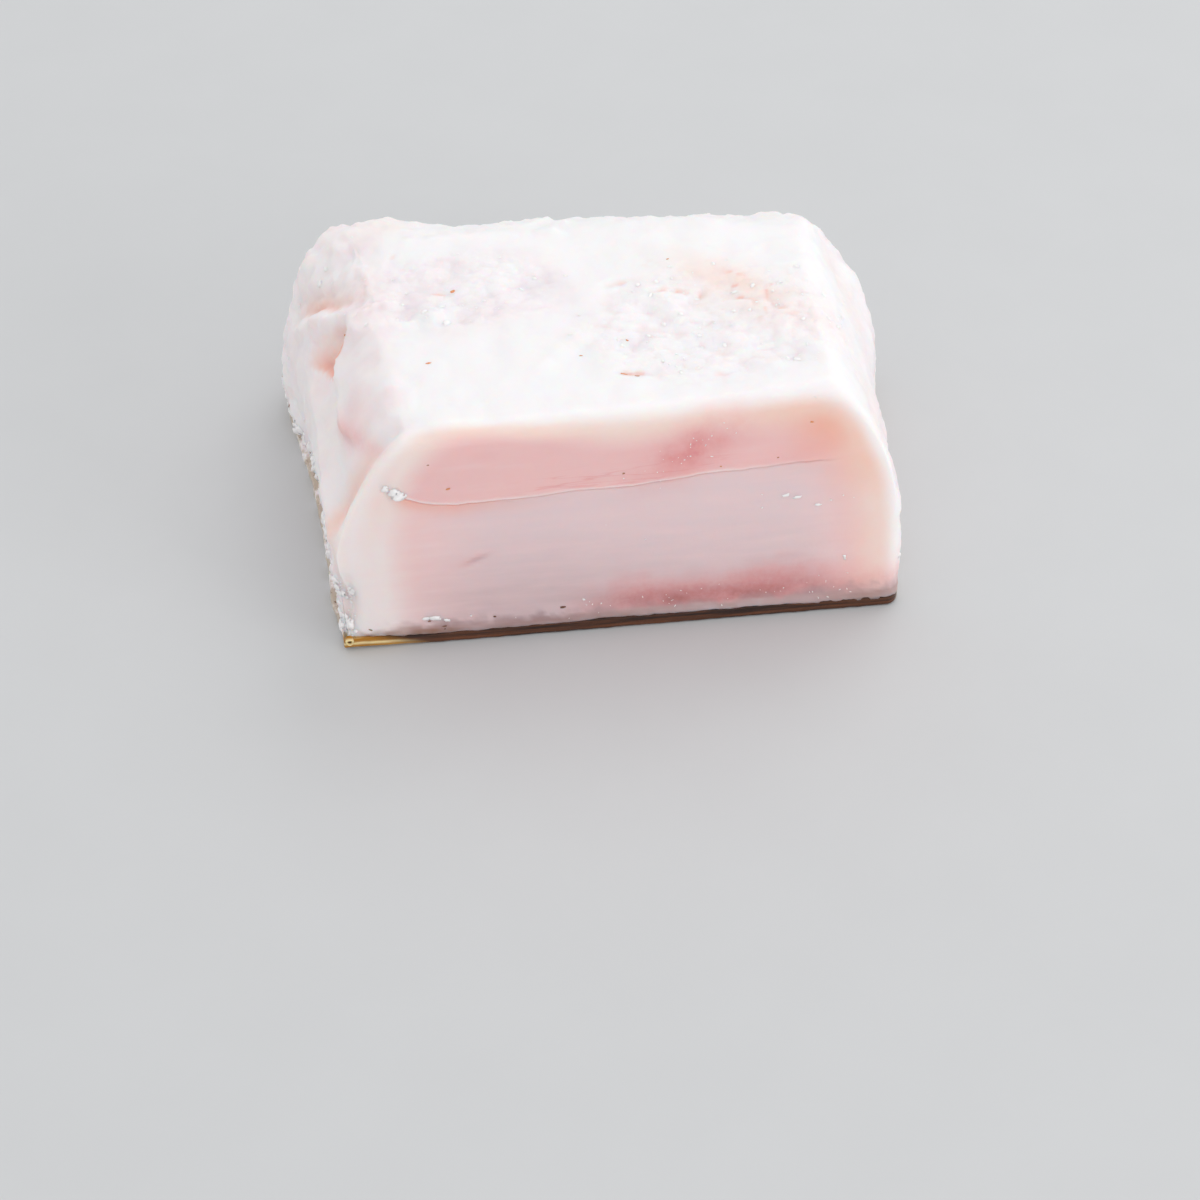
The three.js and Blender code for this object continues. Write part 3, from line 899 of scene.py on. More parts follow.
def rind_material(colours):
    """Cured skin: golden and clear at the left end of the cut, brown along it, tan outside."""
    shader = Shader("cured_rind")
    place = shader.place()
    streaks = shader.cloud(shader.stretched(place, (70.0, 70.0, 1900.0)), 1.0, 4.0)
    blotch = shader.cloud(place, 260.0, 4.0)
    grain = shader.cloud(place, 1400.0)
    # The stripe is a painted highlight along the rind's cut edge: it pales the gold and the brown.
    highlight_stripe = shader.mask("highlight_stripe")
    golden = shader.mask("gold")
    outside = shader.mask("outside")
    pale = (streaks.rise(0.4, 0.65) * 0.5 + 0.6 * highlight_stripe).clamp()
    brown = shader.mix(pale, colours.rind_dark, colours.rind_brown)
    pale = (streaks.rise(0.5, 0.75) * 0.35 + 0.95 * highlight_stripe).clamp()
    gold = shader.mix(pale, colours.rind_gold, colours.rind_pale)
    cut = shader.mix((golden + 0.5 * (blotch - 0.5) * golden).clamp(), brown, gold)
    tan = shader.mix(blotch.rise(0.45, 0.62), colours.rind_tan, colours.fat_white)
    tan = shader.mix(grain.rise(0.62, 0.75), tan, colours.rind_brown)
    varying = {
        "Base Color": shader.mix(outside, cut, tan),
        "Roughness": 0.26 + 0.34 * outside + 0.15 * grain,
        "Normal": shader.bump(streaks + grain, 0.0002, 0.7),
    }
    under = subsurface(0.2, (1.0, 0.5, 0.2), 0.0006)
    return shader.surface(varying, {**under, "Specular IOR Level": 0.3})


def floor_material(colours):
    """A dull, nearly even floor."""
    shader = Shader("pale_floor")
    grain = shader.cloud(shader.place(), 40.0)
    dimmed = [channel * 0.985 for channel in colours.floor]
    colour = shader.mix(grain.rise(0.2, 0.8), colours.floor, dimmed)
    return shader.surface({"Base Color": colour}, {"Roughness": 0.7, "Specular IOR Level": 0.2})


# ---------------------------------------------------------------- stains of the fat


def cut_stains(p, size):
    """Stains of the cut, with painted light: a pale rim, then peach, then pink, by the depth
    inside its outline. The pale rim, the peach and the orange at the top right corner are
    painted glow of light through the thin edges. Steps and bells over X, Z and the height
    over the seam add the red patch, the seam's line, a painted shadow in the gouge, painted
    shade under the seam's lip, a painted highlight on the lip, red over the rind on the right
    that is partly painted glow and shade, and the bands over the rind, where painted shade
    also darkens the cut towards the bottom."""
    x, y, z = p.T
    on_cut = 1 - smooth(1.2, 4.6, y)
    depth = depth_in_cut(p, size) + 0.15 * noise(p * (1, 0, 1), 9.0, 61.0)
    above = over_seam(p)
    upper = smooth(-0.2, 0.2, above)
    # Painted glow grows towards the right of the cut.
    right = smooth(20, 44, x)
    left = smooth(-32, -52, x)
    pale_corner = smooth(-34, -56, x) * smooth(24, 6, z)
    # The pink gives way to the pale rim near the edges: painted glow of light through the thin edges.
    pink = smooth(1.2, 3.4, depth) * (1 - 0.6 * pale_corner)
    blush = 0.17 * smooth(-42, -50, x) * smooth(0.0, 0.5, depth)
    # Painted glow: peach between the pale rim and the pink, stronger to the right and higher up.
    peach = smooth(0.1, 1.3, depth) * (1 - smooth(2.0, 4.4, depth)) * (0.75 + 0.25 * right)
    peach = peach * (0.6 + 0.4 * smooth(26, 40, z)) * (1 - 0.6 * pale_corner) * (1 - 0.45 * left)
    # Painted glow: orange at the top right corner of the cut.
    corner = bell(x - 43.7, 8) * bell(z - 49, 9)
    # Red over the rind on the right: partly the fat's own red, partly painted red glow and shade.
    low = smooth(-16, 8, x) * (1 - 0.7 * smooth(34, 50, x))
    patch_x = x - 14.8
    patch_z = z - 46.6
    along = (patch_x * 0.86 + patch_z * 0.5) / 11.0
    across = (patch_z * 0.86 - patch_x * 0.5) / 5.2
    patch = np.exp(-along ** 2 - across ** 2)
    patch = patch * (0.85 + 0.25 * noise(p, 3.0, 40.0) + 0.15 * noise(p, 1.3, 42.0))
    near_seam = smooth(-50, -45, x) * (1 - smooth(36, 48, x))
    third = 1 - smooth(-34, -8, x)
    # Painted shade under the lip of the fat above the seam, in peach and orange.
    under = bell(np.minimum(above + 0.4, 0), 2.5) * smooth(0.15, -0.3, above) * (0.7 + 0.3 * third)
    line = bell(above + 0.2, 0.22) * (0.65 + 0.35 * third)
    ragged = 0.8 * noise(p, 2.6, 44.0) + 0.5 * noise(p, 1.1, 45.0)
    uneven = 0.8 * noise(p, 6.0, 48.0) + 0.5 * noise(p, 2.4, 49.0)
    band = smooth(8.0, 4.4, z + 1.3 * ragged) * smooth(-56, -40, x)
    fringe = smooth(5.6, 4.2, z + 0.8 * ragged) * smooth(-59, -55, x)
    fringe = fringe * (1 - 0.6 * smooth(-45, -30, x))
    strip = smooth(-12, 0, x) * smooth(5.4, 4.3, z + 0.4 * ragged)
    slant = z - 23.4 - 0.45 * (x + 31.1)
    # Painted shadow in the gouge's hollow, in peach and red.
    gouge_shadow = bell(x + 31.4, 2.8) * bell(slant + 0.2, 0.9)
    mottle = 0.5 * np.maximum(noise(p * (0.45, 0, 1), 3.2, 47.0), 0)
    # Painted shade: the cut darkens towards the bottom.
    shade = smooth(34, 5, z) * smooth(-54, -30, x) * (1 - smooth(36, 50, x))
    return {
        "cut": on_cut * largest(pink * (0.75 + 0.25 * upper), blush),
        "mauve": on_cut * pink * (1 - upper) * smooth(-46, -25, x) * (1 - smooth(34, 52, x)),
        "peach": on_cut * largest(
            peach,
            0.9 * under * near_seam,
            0.5 * gouge_shadow,
            # Painted glow: peach along the cut's left edge.
            0.3 * smooth(0.7, 0.1, depth) * left,
        ),
        "orange": on_cut * largest(
            0.4 * corner * smooth(0.7, 1.8, depth),
            0.3 * under * near_seam * third,
            # Painted glow: orange over the peach on the right.
            0.18 * peach * right,
            0.2 * low * smooth(16, 8, z) * smooth(38, 48, x),
        ),
        "red": on_cut * largest(
            0.8 * patch,
            0.8 * low * smooth(17, 8, z + 2 * uneven) * (1 - strip),
            0.2 * pink * mottle * upper,
            0.4 * gouge_shadow,
        ),
        # Partly painted: red glow and shade just over the rind on the right.
        "deep": on_cut * low * bell(z - 7.2 + uneven, 2.4) * (0.6 + 0.5 * uneven) * (1 - strip),
        "line": on_cut * line * near_seam,
        # Painted highlight on the edge of the fat just above the seam.
        "lip": on_cut * bell(above - 0.35, 0.3) * near_seam * (1 - smooth(20, 40, x)),
        # Darker band over the rind, partly the fat's own colour, with painted shade towards the bottom.
        "dark_band_and_shade": on_cut * (largest(band, shade * (0.36 + 0.2 * mottle)) * (1 - 0.4 * low)),
        "grey": on_cut * 0.8 * strip,
        "rust": on_cut * fringe * (0.8 + 0.5 * ragged),
        "fibre": on_cut * bell(above - 2.6, 2.2) * smooth(-26, -12, x) * (1 - smooth(14, 28, x)),
    }


def side_stains(p):
    """Stains of the left wall, from the distances to its torn forms: peach in the groove, the wedge
    and the pocket, orange deep in the pocket, a red spot on the lobe, grey in patches and on the
    salt crust, and rust at the crust's foot. The peach, orange and pink in the groove behind the
    cut's ridge are painted shade."""
    x, y, z = p.T
    _, past_lobe, over_sill, past_flap = left_forms(p)
    on_left = smooth(-40, -46, x) * smooth(0.4, 1.6, y)
    # Painted shade: peach, orange and pink in the groove behind the cut's ridge.
    groove = bell(y - 3.2, 3.8) * smooth(14, 34, z) * (1 - smooth(49, 55, z))
    in_pocket = smooth(-1.2, -0.2, past_lobe) * smooth(-0.8, 0.6, over_sill)
    in_pocket = in_pocket * smooth(-3.5, -6.0, past_flap)
    fading = 1 - smooth(6, 20, past_lobe)
    corner = bell(np.maximum(past_lobe - 0.8, 0), 4.5) * bell(np.maximum(over_sill - 1.0, 0), 3.5)
    upper = bell(past_lobe - 1.5, 2.6) * bell(past_flap + 7.0, 2.6)
    edge = bell(np.maximum(past_lobe - 0.6, 0), 1.8)
    low = bell(np.maximum(over_sill - 0.8, 0), 4.0)
    deep = in_pocket * largest(corner, 0.9 * upper, 0.85 * edge, 0.4 * low * fading)
    wedge = smooth(0.8, 3.5, past_flap) * (1 - smooth(6, 14, past_flap))
    wedge = wedge * bell(z - 44, 8) * smooth(44, 52, y)
    lobe = bell(y - 17, 10) * bell(z - 48, 6.5)
    spot_y = y - 18
    spot_z = z - 45.5
    spot = bell(spot_y + 1.4 * spot_z, 7.0) * bell(spot_z + 0.42 * spot_y, 2.0) * smooth(26, 21, y)
    blush = bell(y - 30, 16) * bell(z - 38, 7)
    crust = salted(p)
    dirt = crust * smooth(0.2, -0.3, noise(p, 3.2, 99.0)) * smooth(12, 4, z)
    return {
        "peach": on_left * largest(0.75 * groove, 0.6 * in_pocket * fading, 0.6 * wedge, 0.15 * blush),
        "orange": on_left * largest(
            1.4 * deep,
            0.3 * wedge * (1 - smooth(4, 9, past_flap)),
            0.2 * groove * bell(z - 40, 8),
        ),
        "red": on_left * largest(0.6 * deep * largest(corner, upper), 0.4 * spot),
        "cut": on_left * largest(0.55 * lobe, 0.2 * groove, np.full_like(x, 0.12)),
        "grey": on_left * largest(0.4 * smooth(0.0, 0.6, noise(p, 7.0, 95.0)), 0.9 * crust),
        "rust": 0.4 * dirt,
    }


def top_stains(p):
    """Stains of the top: lilac hollows on the left, pink hollows and stained crevices on the
    right. The grey that deepens in the hollows and dents of both patches is painted shade."""
    x, y, _ = p.T
    level = on_top(p)
    _, stain = crevices(p)
    right = right_patch(p) * level
    left = oval(p, (-28, 47), (26, 15), (0.6, 1.3)) * level
    hollow = smooth(0.75, 0.3, pebbles(p, 3.4, 5.0))
    dents = smooth(0.2, -0.6, noise(p + (0, 0, 90), 5.5))
    zone_x = x - 33
    zone = np.exp(-((zone_x / 14) ** 2) - ((y - 38 + 0.7 * zone_x) / 9) ** 2) * level
    back = bell(x + 40, 6) * bell(y - 77, 7)
    broken = smooth(-0.5, 0.4, noise(p, 1.6, 97.0))
    soft = smooth(-0.7, 0.6, noise(p, 3.4, 71.0))
    pits = smooth(0.25, 0.7, noise(p, 1.5, 72.0)) * smooth(-0.1, 0.5, noise(p, 4.5, 73.0))
    return {
        "peach": largest(
            0.6 * stain * broken,
            0.1 * hollow * right,
            zone * (0.3 + 0.35 * soft),
            0.25 * back,
        ),
        "orange": largest(0.75 * stain ** 2 * broken, 0.6 * zone * pits),
        # Painted shade: the grey deepens in the hollows and dents of the relief.
        "grey": largest(left * (0.4 + 0.35 * dents + 0.35 * hollow), right * (0.15 + 0.35 * hollow)),
        "crumb": crumbly(p),
    }


def fat_masks(p, size):
    """Share of each stain at every point: the largest of the cut's, the left wall's and the top's,
    of faint clouds on the other walls and of a warm line along their foot."""
    x, y, z = p.T
    masks = {}
    for stains in (cut_stains(p, size), side_stains(p), top_stains(p)):
        for name, share in stains.items():
            masks[name] = np.maximum(masks.get(name, 0), share)
    wall = smooth(0.5, 3, y) * (1 - smooth(44, 52, z))
    other_walls = wall * smooth(-48, -36, x)
    foot = smooth(6.0, 2.6, z) * smooth(0.5, 3, y) * smooth(-56, -48, x)
    cloudy = other_walls * (0.25 + 0.5 * smooth(-0.2, 0.6, noise(p, 11.0, 96.0)))
    rosy = other_walls * 0.3 * smooth(-0.1, 0.7, noise(p, 14.0, 98.0))
    masks["crumb"] = largest(masks["crumb"], 0.5 * wall)
    masks["grey"] = largest(masks["grey"], cloudy)
    masks["peach"] = largest(masks["peach"], rosy, 0.7 * foot)
    masks["rust"] = largest(masks["rust"], 0.3 * foot)
    return masks


def rind_masks(points):
    """Share of golden rind, a slanting step at the left end with one dark spot, of the pale
    stripe, a painted highlight along the cut edge as a bell over the height that rises to the
    left, and of the outside, behind the cut."""
    x, y, z = points.T
    return {
        "gold": smooth(-44, -53, x + 3.0 * (z - 2.0)) * (1 - bell(np.hypot(x + 59, z - 2.5), 0.5)),
        "highlight_stripe": bell(z - 1.0 - 1.0 * smooth(-30, -58, x), 0.35),
        "outside": smooth(0.6, 2.5, y),
    }


# ---------------------------------------------------------------- settings


def number(name, description, default, **kind):
    """A number in the panel; kind is its unit or its subtype."""
    return bpy.props.FloatProperty(name=name, description=description, default=default, **kind)


def metres(name, description, default):
    """A length in the panel."""
    return number(name, description, default, unit="LENGTH")


def paint(name, description, default):
    """A colour in the panel."""
    return bpy.props.FloatVectorProperty(
        name=name, description=description, default=default, subtype="COLOR")


def how_many(things, default):
    """The number of scattered things."""
    return bpy.props.IntProperty(name="Count", description=f"Number of {things}", default=default)


class FatbackSize(bpy.types.PropertyGroup):
    """Driving sizes of the block."""

    width: metres("Width", "Length of the cut along the table", 0.12)
    depth: metres("Depth", "Distance from the cut to the back, in the middle", 0.09)
    height: metres("Height", "Height of the cut face", 0.058)
    rind: metres("Rind", "Thickness of the rind", 0.0024)


class FatbackColours(bpy.types.PropertyGroup):
    """Base colours, as linear red, green and blue."""

    fat_white: paint("Fat", "Trimmed outer fat", (0.965, 0.9, 0.905))
    # Lilac-grey of the crumbly fat; it also paints the shade in the top's hollows and dents.
    fat_grey: paint("Shaded fat", "Lilac-grey crumbly fat", (0.83, 0.745, 0.775))
    crumb: paint("Crumbs", "Loose crumbs of fat and salt", (0.98, 0.955, 0.945))
    cut_pink: paint("Cut face", "Pink of the cut over the seam", (0.88, 0.57, 0.56))
    cut_mauve: paint("Lower cut", "Cool pink of the cut under the seam", (0.8, 0.64, 0.655))
    blood_red: paint("Blood", "Red stain", (0.78, 0.31, 0.31))
    # Painted glow of light through the cut's thin edges, between the rim and the pink. The same peach
    # paints shade in the left wall's groove and under the seam's lip, and real stains elsewhere.
    peach: paint("Peach", "Glow between the rim and the cut's pink", (0.96, 0.7, 0.61))
    # Real tissue in the tears. On the cut the same orange paints glow at the top right corner, and it
    # paints shade under the seam's lip and in the left wall's groove.
    orange: paint("Orange", "Tissue in the deepest tears", (0.92, 0.3, 0.17))
    # Partly the fat's own red, partly painted red glow and shade low on the right of the cut.
    deep_red: paint("Deep red", "Red just over the rind on the right", (0.52, 0.17, 0.16))
    # Darker band over the rind: partly the fat's own colour, partly painted shade that darkens the cut
    # towards the bottom.
    dark_band_and_shade: paint("Dusk", "Dim band over the rind", (0.45, 0.31, 0.32))
    rust: paint("Rust", "Brown fringe of the rind", (0.34, 0.17, 0.11))
    seam_red: paint("Seam", "Line of the seam", (0.66, 0.27, 0.22))
    rind_gold: paint("Golden rind", "Clear rind at the left end", (0.45, 0.19, 0.015))
    # Pale streaks of the rind, and the painted highlight of the stripe along the rind's cut edge.
    rind_pale: paint("Pale rind", "Pale streaks of the clear rind", (0.9, 0.74, 0.4))
    rind_brown: paint("Brown rind", "Brown rind in the cut", (0.17, 0.06, 0.025))
    rind_dark: paint("Dark rind", "Darkest streaks of the rind", (0.03, 0.014, 0.01))
    rind_tan: paint("Tan rind", "Outer edge of the rind", (0.6, 0.51, 0.42))
    chip_brown: paint("Brown chips", "Darkest chips of tissue", (0.12, 0.05, 0.03))
    chip_orange: paint("Orange chips", "Brightest chips of tissue", (0.85, 0.36, 0.14))
    floor: paint("Floor", "Pale floor", (0.625, 0.63, 0.635))


class FatbackStage(bpy.types.PropertyGroup):
    """Camera and lights."""

    azimuth: number("Azimuth", "Turn of the camera about the vertical, negative to the left",
                    np.radians(-10), subtype="ANGLE")
    elevation: number("Elevation", "Height angle of the camera", np.radians(45), subtype="ANGLE")
    distance: metres("Distance", "Camera to the foot of the cut", 0.6)
    focal: number("Focal length", "In millimetres on a 36 mm sensor", 82.8)
    key_power: number("Key light", "Power of the light behind and to the right", 2.55, unit="POWER")
    fill_power: number("Fill light", "Power of the light in front and to the right", 2.45, unit="POWER")
    sky: number("Sky", "Strength of the even light from all round", 0.885)


@dataclasses.dataclass(frozen=True)
class PlainSize:
    """The sizes in millimetres."""

    width: float
    depth: float
    height: float
    rind: float


class Steps:
    """Steps of the skin: shoulder, middle and shoulder on each axis, rows of the walls and of the
    rind's edge; how the walls' rows crowd at the seam; and how far the fat goes into the rind."""

    across = (48, 136, 30)
    backward = (6, 108, 40)
    rows = 84
    edge_rows = 17
    seam_share = 0.7
    crowd_reach = 0.025
    crowd_gain = 7.0
    highest_seam = 0.85
    overlap = 0.3


def block_size(context):
    """The panel's sizes in millimetres."""
    settings = context.scene.fatback_size
    return PlainSize(*(getattr(settings, field.name) / MM for field in dataclasses.fields(PlainSize)))


# ---------------------------------------------------------------- operators


class FATBACK_OT_fat(bpy.types.Operator):
    """Adds the body of fat above the rind"""

    bl_idname = "fatback.fat"
    bl_label = "Fat"

    def execute(self, context):
        size = block_size(context)
        skin = fat_surface(size, Steps)
        material = fat_material(context.scene.fatback_colours)
        masks = fat_masks(skin.plain, size)
        make_piece("fat", skin.points, skin.quads, skin.fan, material, size, masks)
        return {"FINISHED"}


class FATBACK_OT_rind(bpy.types.Operator):
    """Adds the rind that the fat lies on"""

    bl_idname = "fatback.rind"
    bl_label = "Rind"

    def execute(self, context):
        size = block_size(context)
        points, quads, fans = rind_surface(size, Steps)
        material = rind_material(context.scene.fatback_colours)
        make_piece("rind", lean_cut(points, size), quads, fans, material, size, rind_masks(points))
        return {"FINISHED"}


class FATBACK_OT_tip(bpy.types.Operator):
    """Adds the rolled tip at the left end of the rind"""

    bl_idname = "fatback.tip"
    bl_label = "Rolled tip"

    def execute(self, context):
        size = block_size(context)
        right, back, up = TIP_PLACE
        centre = (right - size.width / 2, back, size.rind / 2 + up)
        points, quads, none = rolled_tip(centre, **TIP)
        # The stripe paints a highlight on the front of the rolled tip.
        masks = {"gold": np.ones(len(points)), "highlight_stripe": smooth(0.1, -0.5, points[:, 1])}
        material = rind_material(context.scene.fatback_colours)
        make_piece("rind_tip", lean_cut(points, size), quads, none, material, size, masks)
        return {"FINISHED"}


class Scattered:
    """Lumps set on the fat's skin, picked at random by weight or put at named places."""

    def __init__(self, context, seed):
        self.size = block_size(context)
        self.skin = fat_surface(self.size, Steps)
        self.plain = self.skin.plain
        self.random = np.random.default_rng(seed)
        self.seed = seed

    def pick(self, weight, count):
        """Indices of vertices drawn by weight and area, none of them twice."""
        chance = weight * vertex_areas(self.skin.points, self.skin.quads)
        return self.random.choice(len(chance), count, replace=False, p=chance / chance.sum())

    def spread(self, count, low, high, power):
        """Random sizes from low to high, most of them small: a power of even shares."""
        return low + (high - low) * self.random.random(count) ** power

    def turns(self, count):
        """Random turns of up to half a circle."""
        return self.random.uniform(0, np.pi, count)

    def grains(self, name, weight, count, low, high, flat, sunk, material):
        """Makes a piece of grains picked by weight, with half lengths from low to high and flat
        times as thick as they are long."""
        index = self.pick(weight, count)
        big = self.spread(count, low, high, 2.0)
        uneven = self.random.uniform(0.75, 1.25, (count, 3))
        sizes = big[:, None] * np.array([1.0, 0.8, flat]) * uneven
        self.build(name, index, sizes, self.turns(count), material, sunk)

    def laid_and_strewn(self, table, weight, count, lengths, widths):
        """Vertices, half lengths and half widths of the table's pieces, followed by those of pieces
        picked by weight, whose sizes are spread as given."""
        index = np.concatenate([nearest(self.plain, table[:, :3]), self.pick(weight, count)])
        length = np.concatenate([table[:, 3], self.spread(count, *lengths)]) / 2
        width = np.concatenate([table[:, 4], self.spread(count, *widths)]) / 2
        return index, length, width

    def build(self, name, index, sizes, turns, material, sunk, ragged=0.25, rings=4, sides=6, masks=None):
        """Makes a piece of lumps at the vertices, each sunk by a share of its height."""
        normals = self.skin.normals[index]
        centres = self.skin.points[index] - normals * (sunk * sizes[:, 2:])
        body = lumps(centres, normals, sizes, turns, rings, sides, ragged, self.seed)
        repeats = len(body[0]) // len(index)
        masks = {mask: np.repeat(values, repeats) for mask, values in (masks or {}).items()}
        return make_piece(name, *body, material, self.size, masks)


class FATBACK_OT_crumbs(bpy.types.Operator):
    """Scatters crumbs of fat over the crumbly top, the torn shoulder and the walls"""

    bl_idname = "fatback.crumbs"
    bl_label = "Crumbs"

    count: how_many("crumbs", 190)

    def execute(self, context):
        scatter = Scattered(context, seed=11)
        x, y, z = scatter.plain.T
        off_cut = smooth(1.5, 6, y) * smooth(2.5, 4, z)
        patchy = smooth(0.0, 0.5, noise(scatter.plain, 6.0, 70.0))
        torn = smooth(-44, -50, x) * smooth(38, 46, y)
        rim = smooth(62, 74, y)
        weight = off_cut * (crumbly(scatter.plain) * (0.25 + patchy) + 0.05 * torn + 0.1 * rim + 0.005)
        material = crumb_material(context.scene.fatback_colours)
        scatter.grains(
            "fat_crumbs", weight, self.count, low=0.3, high=1.0, flat=0.42, sunk=0.5, material=material)
        return {"FINISHED"}


class FATBACK_OT_salt(bpy.types.Operator):
    """Sets a crust of salt and dried fat along the foot of the left wall"""

    bl_idname = "fatback.salt"
    bl_label = "Salt crust"

    count: how_many("grains", 420)

    def execute(self, context):
        scatter = Scattered(context, seed=23)
        _, y, z = scatter.plain.T
        patchy = smooth(-0.3, 0.4, noise(scatter.plain, 5.0, 80.0))
        low = (1 - smooth(4, 9, z)) * smooth(2.2, 3, z)
        weight = salted(scatter.plain) * (0.1 + patchy) + 0.08 * low * smooth(2, 6, y) * patchy
        material = crumb_material(context.scene.fatback_colours)
        scatter.grains(
            "salt_crust", weight, self.count, low=0.35, high=1.5, flat=0.55, sunk=0.4, material=material)
        return {"FINISHED"}


class FATBACK_OT_chips(bpy.types.Operator):
    """Sets chips of dried tissue at their places and dark ones along the foot of the block"""

    bl_idname = "fatback.chips"
    bl_label = "Chips of tissue"

    count: how_many("dark chips at the foot", 80)

    def execute(self, context):
        scatter = Scattered(context, seed=37)
        x, y, z = scatter.plain.T
        table = np.array(CHIPS)
        foot = smooth(-50, -57, x) * smooth(0.8, 3, y) * smooth(2.2, 3, z) * (1 - smooth(4, 11, z))
        foot += 0.08 * smooth(1.5, 3, y) * smooth(2.2, 2.8, z) * (1 - smooth(3, 6, z))
        on_cut = 0.8 * (1 - smooth(0.3, 0.8, y)) * bell(z - 4.2, 0.7)
        foot += on_cut * smooth(-59, -56, x) * (1 - smooth(-46, -20, x))
        index, length, width = scatter.laid_and_strewn(
            table, foot, self.count, lengths=(0.4, 1.3, 2.0), widths=(0.3, 0.6, 1.0))
        tone = np.concatenate([table[:, 6], scatter.random.uniform(0, 0.45, self.count)])
        turns = np.concatenate([table[:, 5], scatter.turns(self.count)])
        sizes = np.stack([length, width, 0.45 * width], axis=-1)
        material = chip_material(context.scene.fatback_colours)
        scatter.build(
            "tissue_chips", index, sizes, turns, material, sunk=0.1, sides=8, masks={"tone": tone})
        return {"FINISHED"}


class FATBACK_OT_flakes(bpy.types.Operator):
    """Sets white flakes at their places, and fine ones over the red of the cut"""

    bl_idname = "fatback.flakes"
    bl_label = "White flakes"

    count: how_many("fine flakes", 70)

    def execute(self, context):
        scatter = Scattered(context, seed=53)
        x, y, z = scatter.plain.T
        table = np.array(FLAKES)
        on_cut = (1 - smooth(0.3, 0.8, y)) * smooth(3.5, 4.5, z)
        patch = bell(x - 14, 8) * bell(z - 46 - 0.45 * (x - 14), 3)
        low = smooth(13, 4, z) * smooth(-30, 0, x) * (1 - smooth(46, 54, x))
        weight = on_cut * (patch + 0.25 * low + 0.004)
        index, length, width = scatter.laid_and_strewn(
            table, weight, self.count, lengths=(0.2, 0.8, 1.5), widths=(0.15, 0.3, 1.0))
        rise = np.concatenate([table[:, 6], np.full(self.count, 0.12)])
        turns = np.concatenate([table[:, 5], scatter.turns(self.count)])
        sizes = np.stack([length, width, rise], axis=-1)
        material = crumb_material(context.scene.fatback_colours)
        scatter.build(
            "white_flakes", index, sizes, turns, material, sunk=0.3, ragged=0.3, rings=6, sides=10)
        return {"FINISHED"}


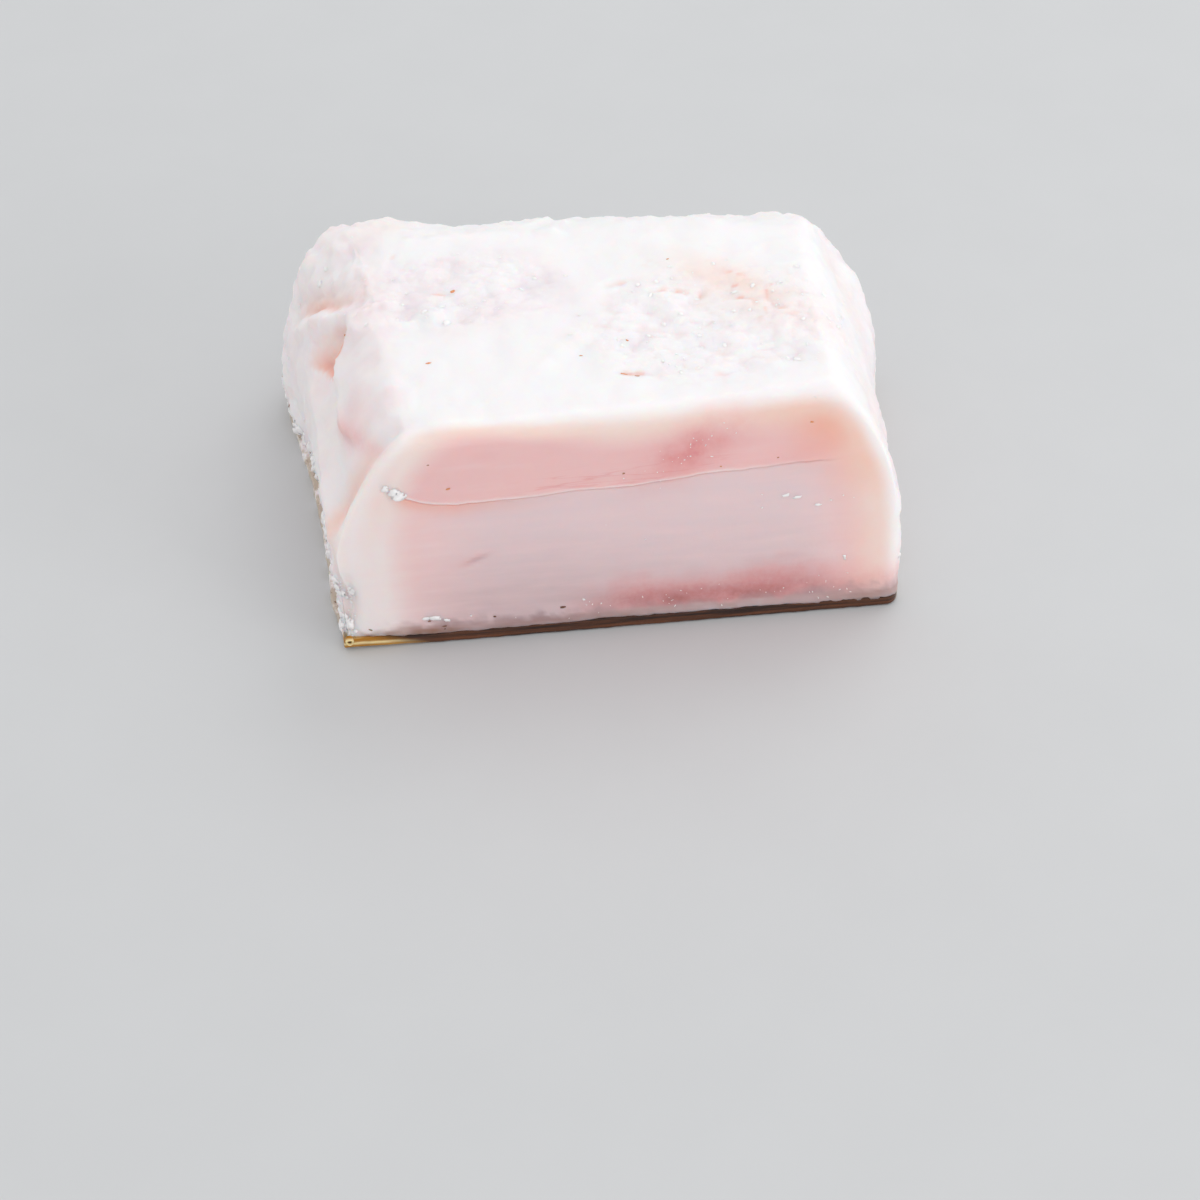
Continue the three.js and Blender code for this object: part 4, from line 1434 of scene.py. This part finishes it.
class FATBACK_OT_stage(bpy.types.Operator):
    """Adds the floor, the lights and the camera"""

    bl_idname = "fatback.stage"
    bl_label = "Stage"

    def execute(self, context):
        scene = context.scene
        stage = scene.fatback_stage
        size = block_size(context)
        self.floor(scene.fatback_colours)
        self.lights(scene, stage)
        self.camera(scene, stage, size)
        scene.view_settings.view_transform = "Standard"
        return {"FINISHED"}

    def floor(self, colours):
        """One square face at the height of the underside."""
        half = 3.0
        mesh = bpy.data.meshes.new("floor")
        corners = [(-half, -half, 0), (half, -half, 0), (half, half, 0), (-half, half, 0)]
        mesh.from_pydata(corners, [], [(0, 1, 2, 3)])
        mesh.materials.append(floor_material(colours))
        floor = bpy.data.objects.new("floor", mesh)
        bpy.context.scene.collection.objects.link(floor)

    def lights(self, scene, stage):
        """Two square lights and an even sky; each light has its side, power, place and target."""
        for name, side, power, place, target in (
            ("key", 0.7, stage.key_power, (0.5, 0.6, 1.05), (0, 0, 0.03)),
            ("fill", 0.6, stage.fill_power, (0.8, -0.75, 0.35), (0.03, -0.04, 0.03)),
        ):
            light = bpy.data.lights.new(name, "AREA")
            light.shape = "SQUARE"
            light.size = side
            light.energy = power
            self.aim(scene, light, Vector(place), Vector(target))
        world = bpy.data.worlds.new("soft_sky")
        world.use_nodes = True
        background = world.node_tree.nodes["Background"]
        background.inputs["Color"].default_value = (0.98, 0.99, 1.0, 1.0)
        background.inputs["Strength"].default_value = stage.sky
        scene.world = world

    def aim(self, scene, data, place, target):
        """Puts a light or a camera at its place, turned to its target."""
        thing = bpy.data.objects.new(data.name, data)
        thing.location = place
        thing.rotation_euler = (target - place).to_track_quat("-Z", "Y").to_euler()
        scene.collection.objects.link(thing)
        return thing

    def camera(self, scene, stage, size):
        """The camera looks down at the foot of the cut from the left of the middle."""
        turn, lift = stage.azimuth, stage.elevation
        back = Vector((np.sin(turn) * np.cos(lift), -np.cos(turn) * np.cos(lift), np.sin(lift)))
        target = Vector((0, BEHIND_CUT * MM - size.depth * MM / 2, 0))
        data = bpy.data.cameras.new("camera")
        data.sensor_width = 36.0
        data.lens = stage.focal
        data.clip_start = 0.01
        data.shift_x = SHIFT[0] / PICTURE
        data.shift_y = SHIFT[1] / PICTURE
        scene.camera = self.aim(scene, data, target + back * stage.distance, target)


class FATBACK_PT_panel(bpy.types.Panel):
    """Lists the sizes and the pieces"""

    bl_idname = "FATBACK_PT_panel"
    bl_label = "Fatback"
    bl_space_type = "VIEW_3D"
    bl_region_type = "UI"
    bl_category = "Fatback"

    def draw(self, context):
        scene = context.scene
        for group in (scene.fatback_size, scene.fatback_colours, scene.fatback_stage):
            box = self.layout.box()
            for name in group.__annotations__:
                box.prop(group, name)
        for operator in OPERATORS:
            self.layout.operator(operator.bl_idname)


OPERATORS = (
    FATBACK_OT_fat, FATBACK_OT_rind, FATBACK_OT_tip, FATBACK_OT_crumbs, FATBACK_OT_salt,
    FATBACK_OT_chips, FATBACK_OT_flakes, FATBACK_OT_stage,
)
GROUPS = {"fatback_size": FatbackSize, "fatback_colours": FatbackColours, "fatback_stage": FatbackStage}


def register():
    for group in GROUPS.values():
        bpy.utils.register_class(group)
    for name, group in GROUPS.items():
        setattr(bpy.types.Scene, name, bpy.props.PointerProperty(type=group))
    for operator in OPERATORS:
        bpy.utils.register_class(operator)
    bpy.utils.register_class(FATBACK_PT_panel)


def unregister():
    bpy.utils.unregister_class(FATBACK_PT_panel)
    for operator in reversed(OPERATORS):
        bpy.utils.unregister_class(operator)
    for name, group in GROUPS.items():
        delattr(bpy.types.Scene, name)
        bpy.utils.unregister_class(group)


def main():
    register()
    bpy.ops.fatback.fat()
    bpy.ops.fatback.rind()
    bpy.ops.fatback.tip()
    bpy.ops.fatback.crumbs()
    bpy.ops.fatback.salt()
    bpy.ops.fatback.chips()
    bpy.ops.fatback.flakes()
    bpy.ops.fatback.stage()


if __name__ == "__main__":
    main()
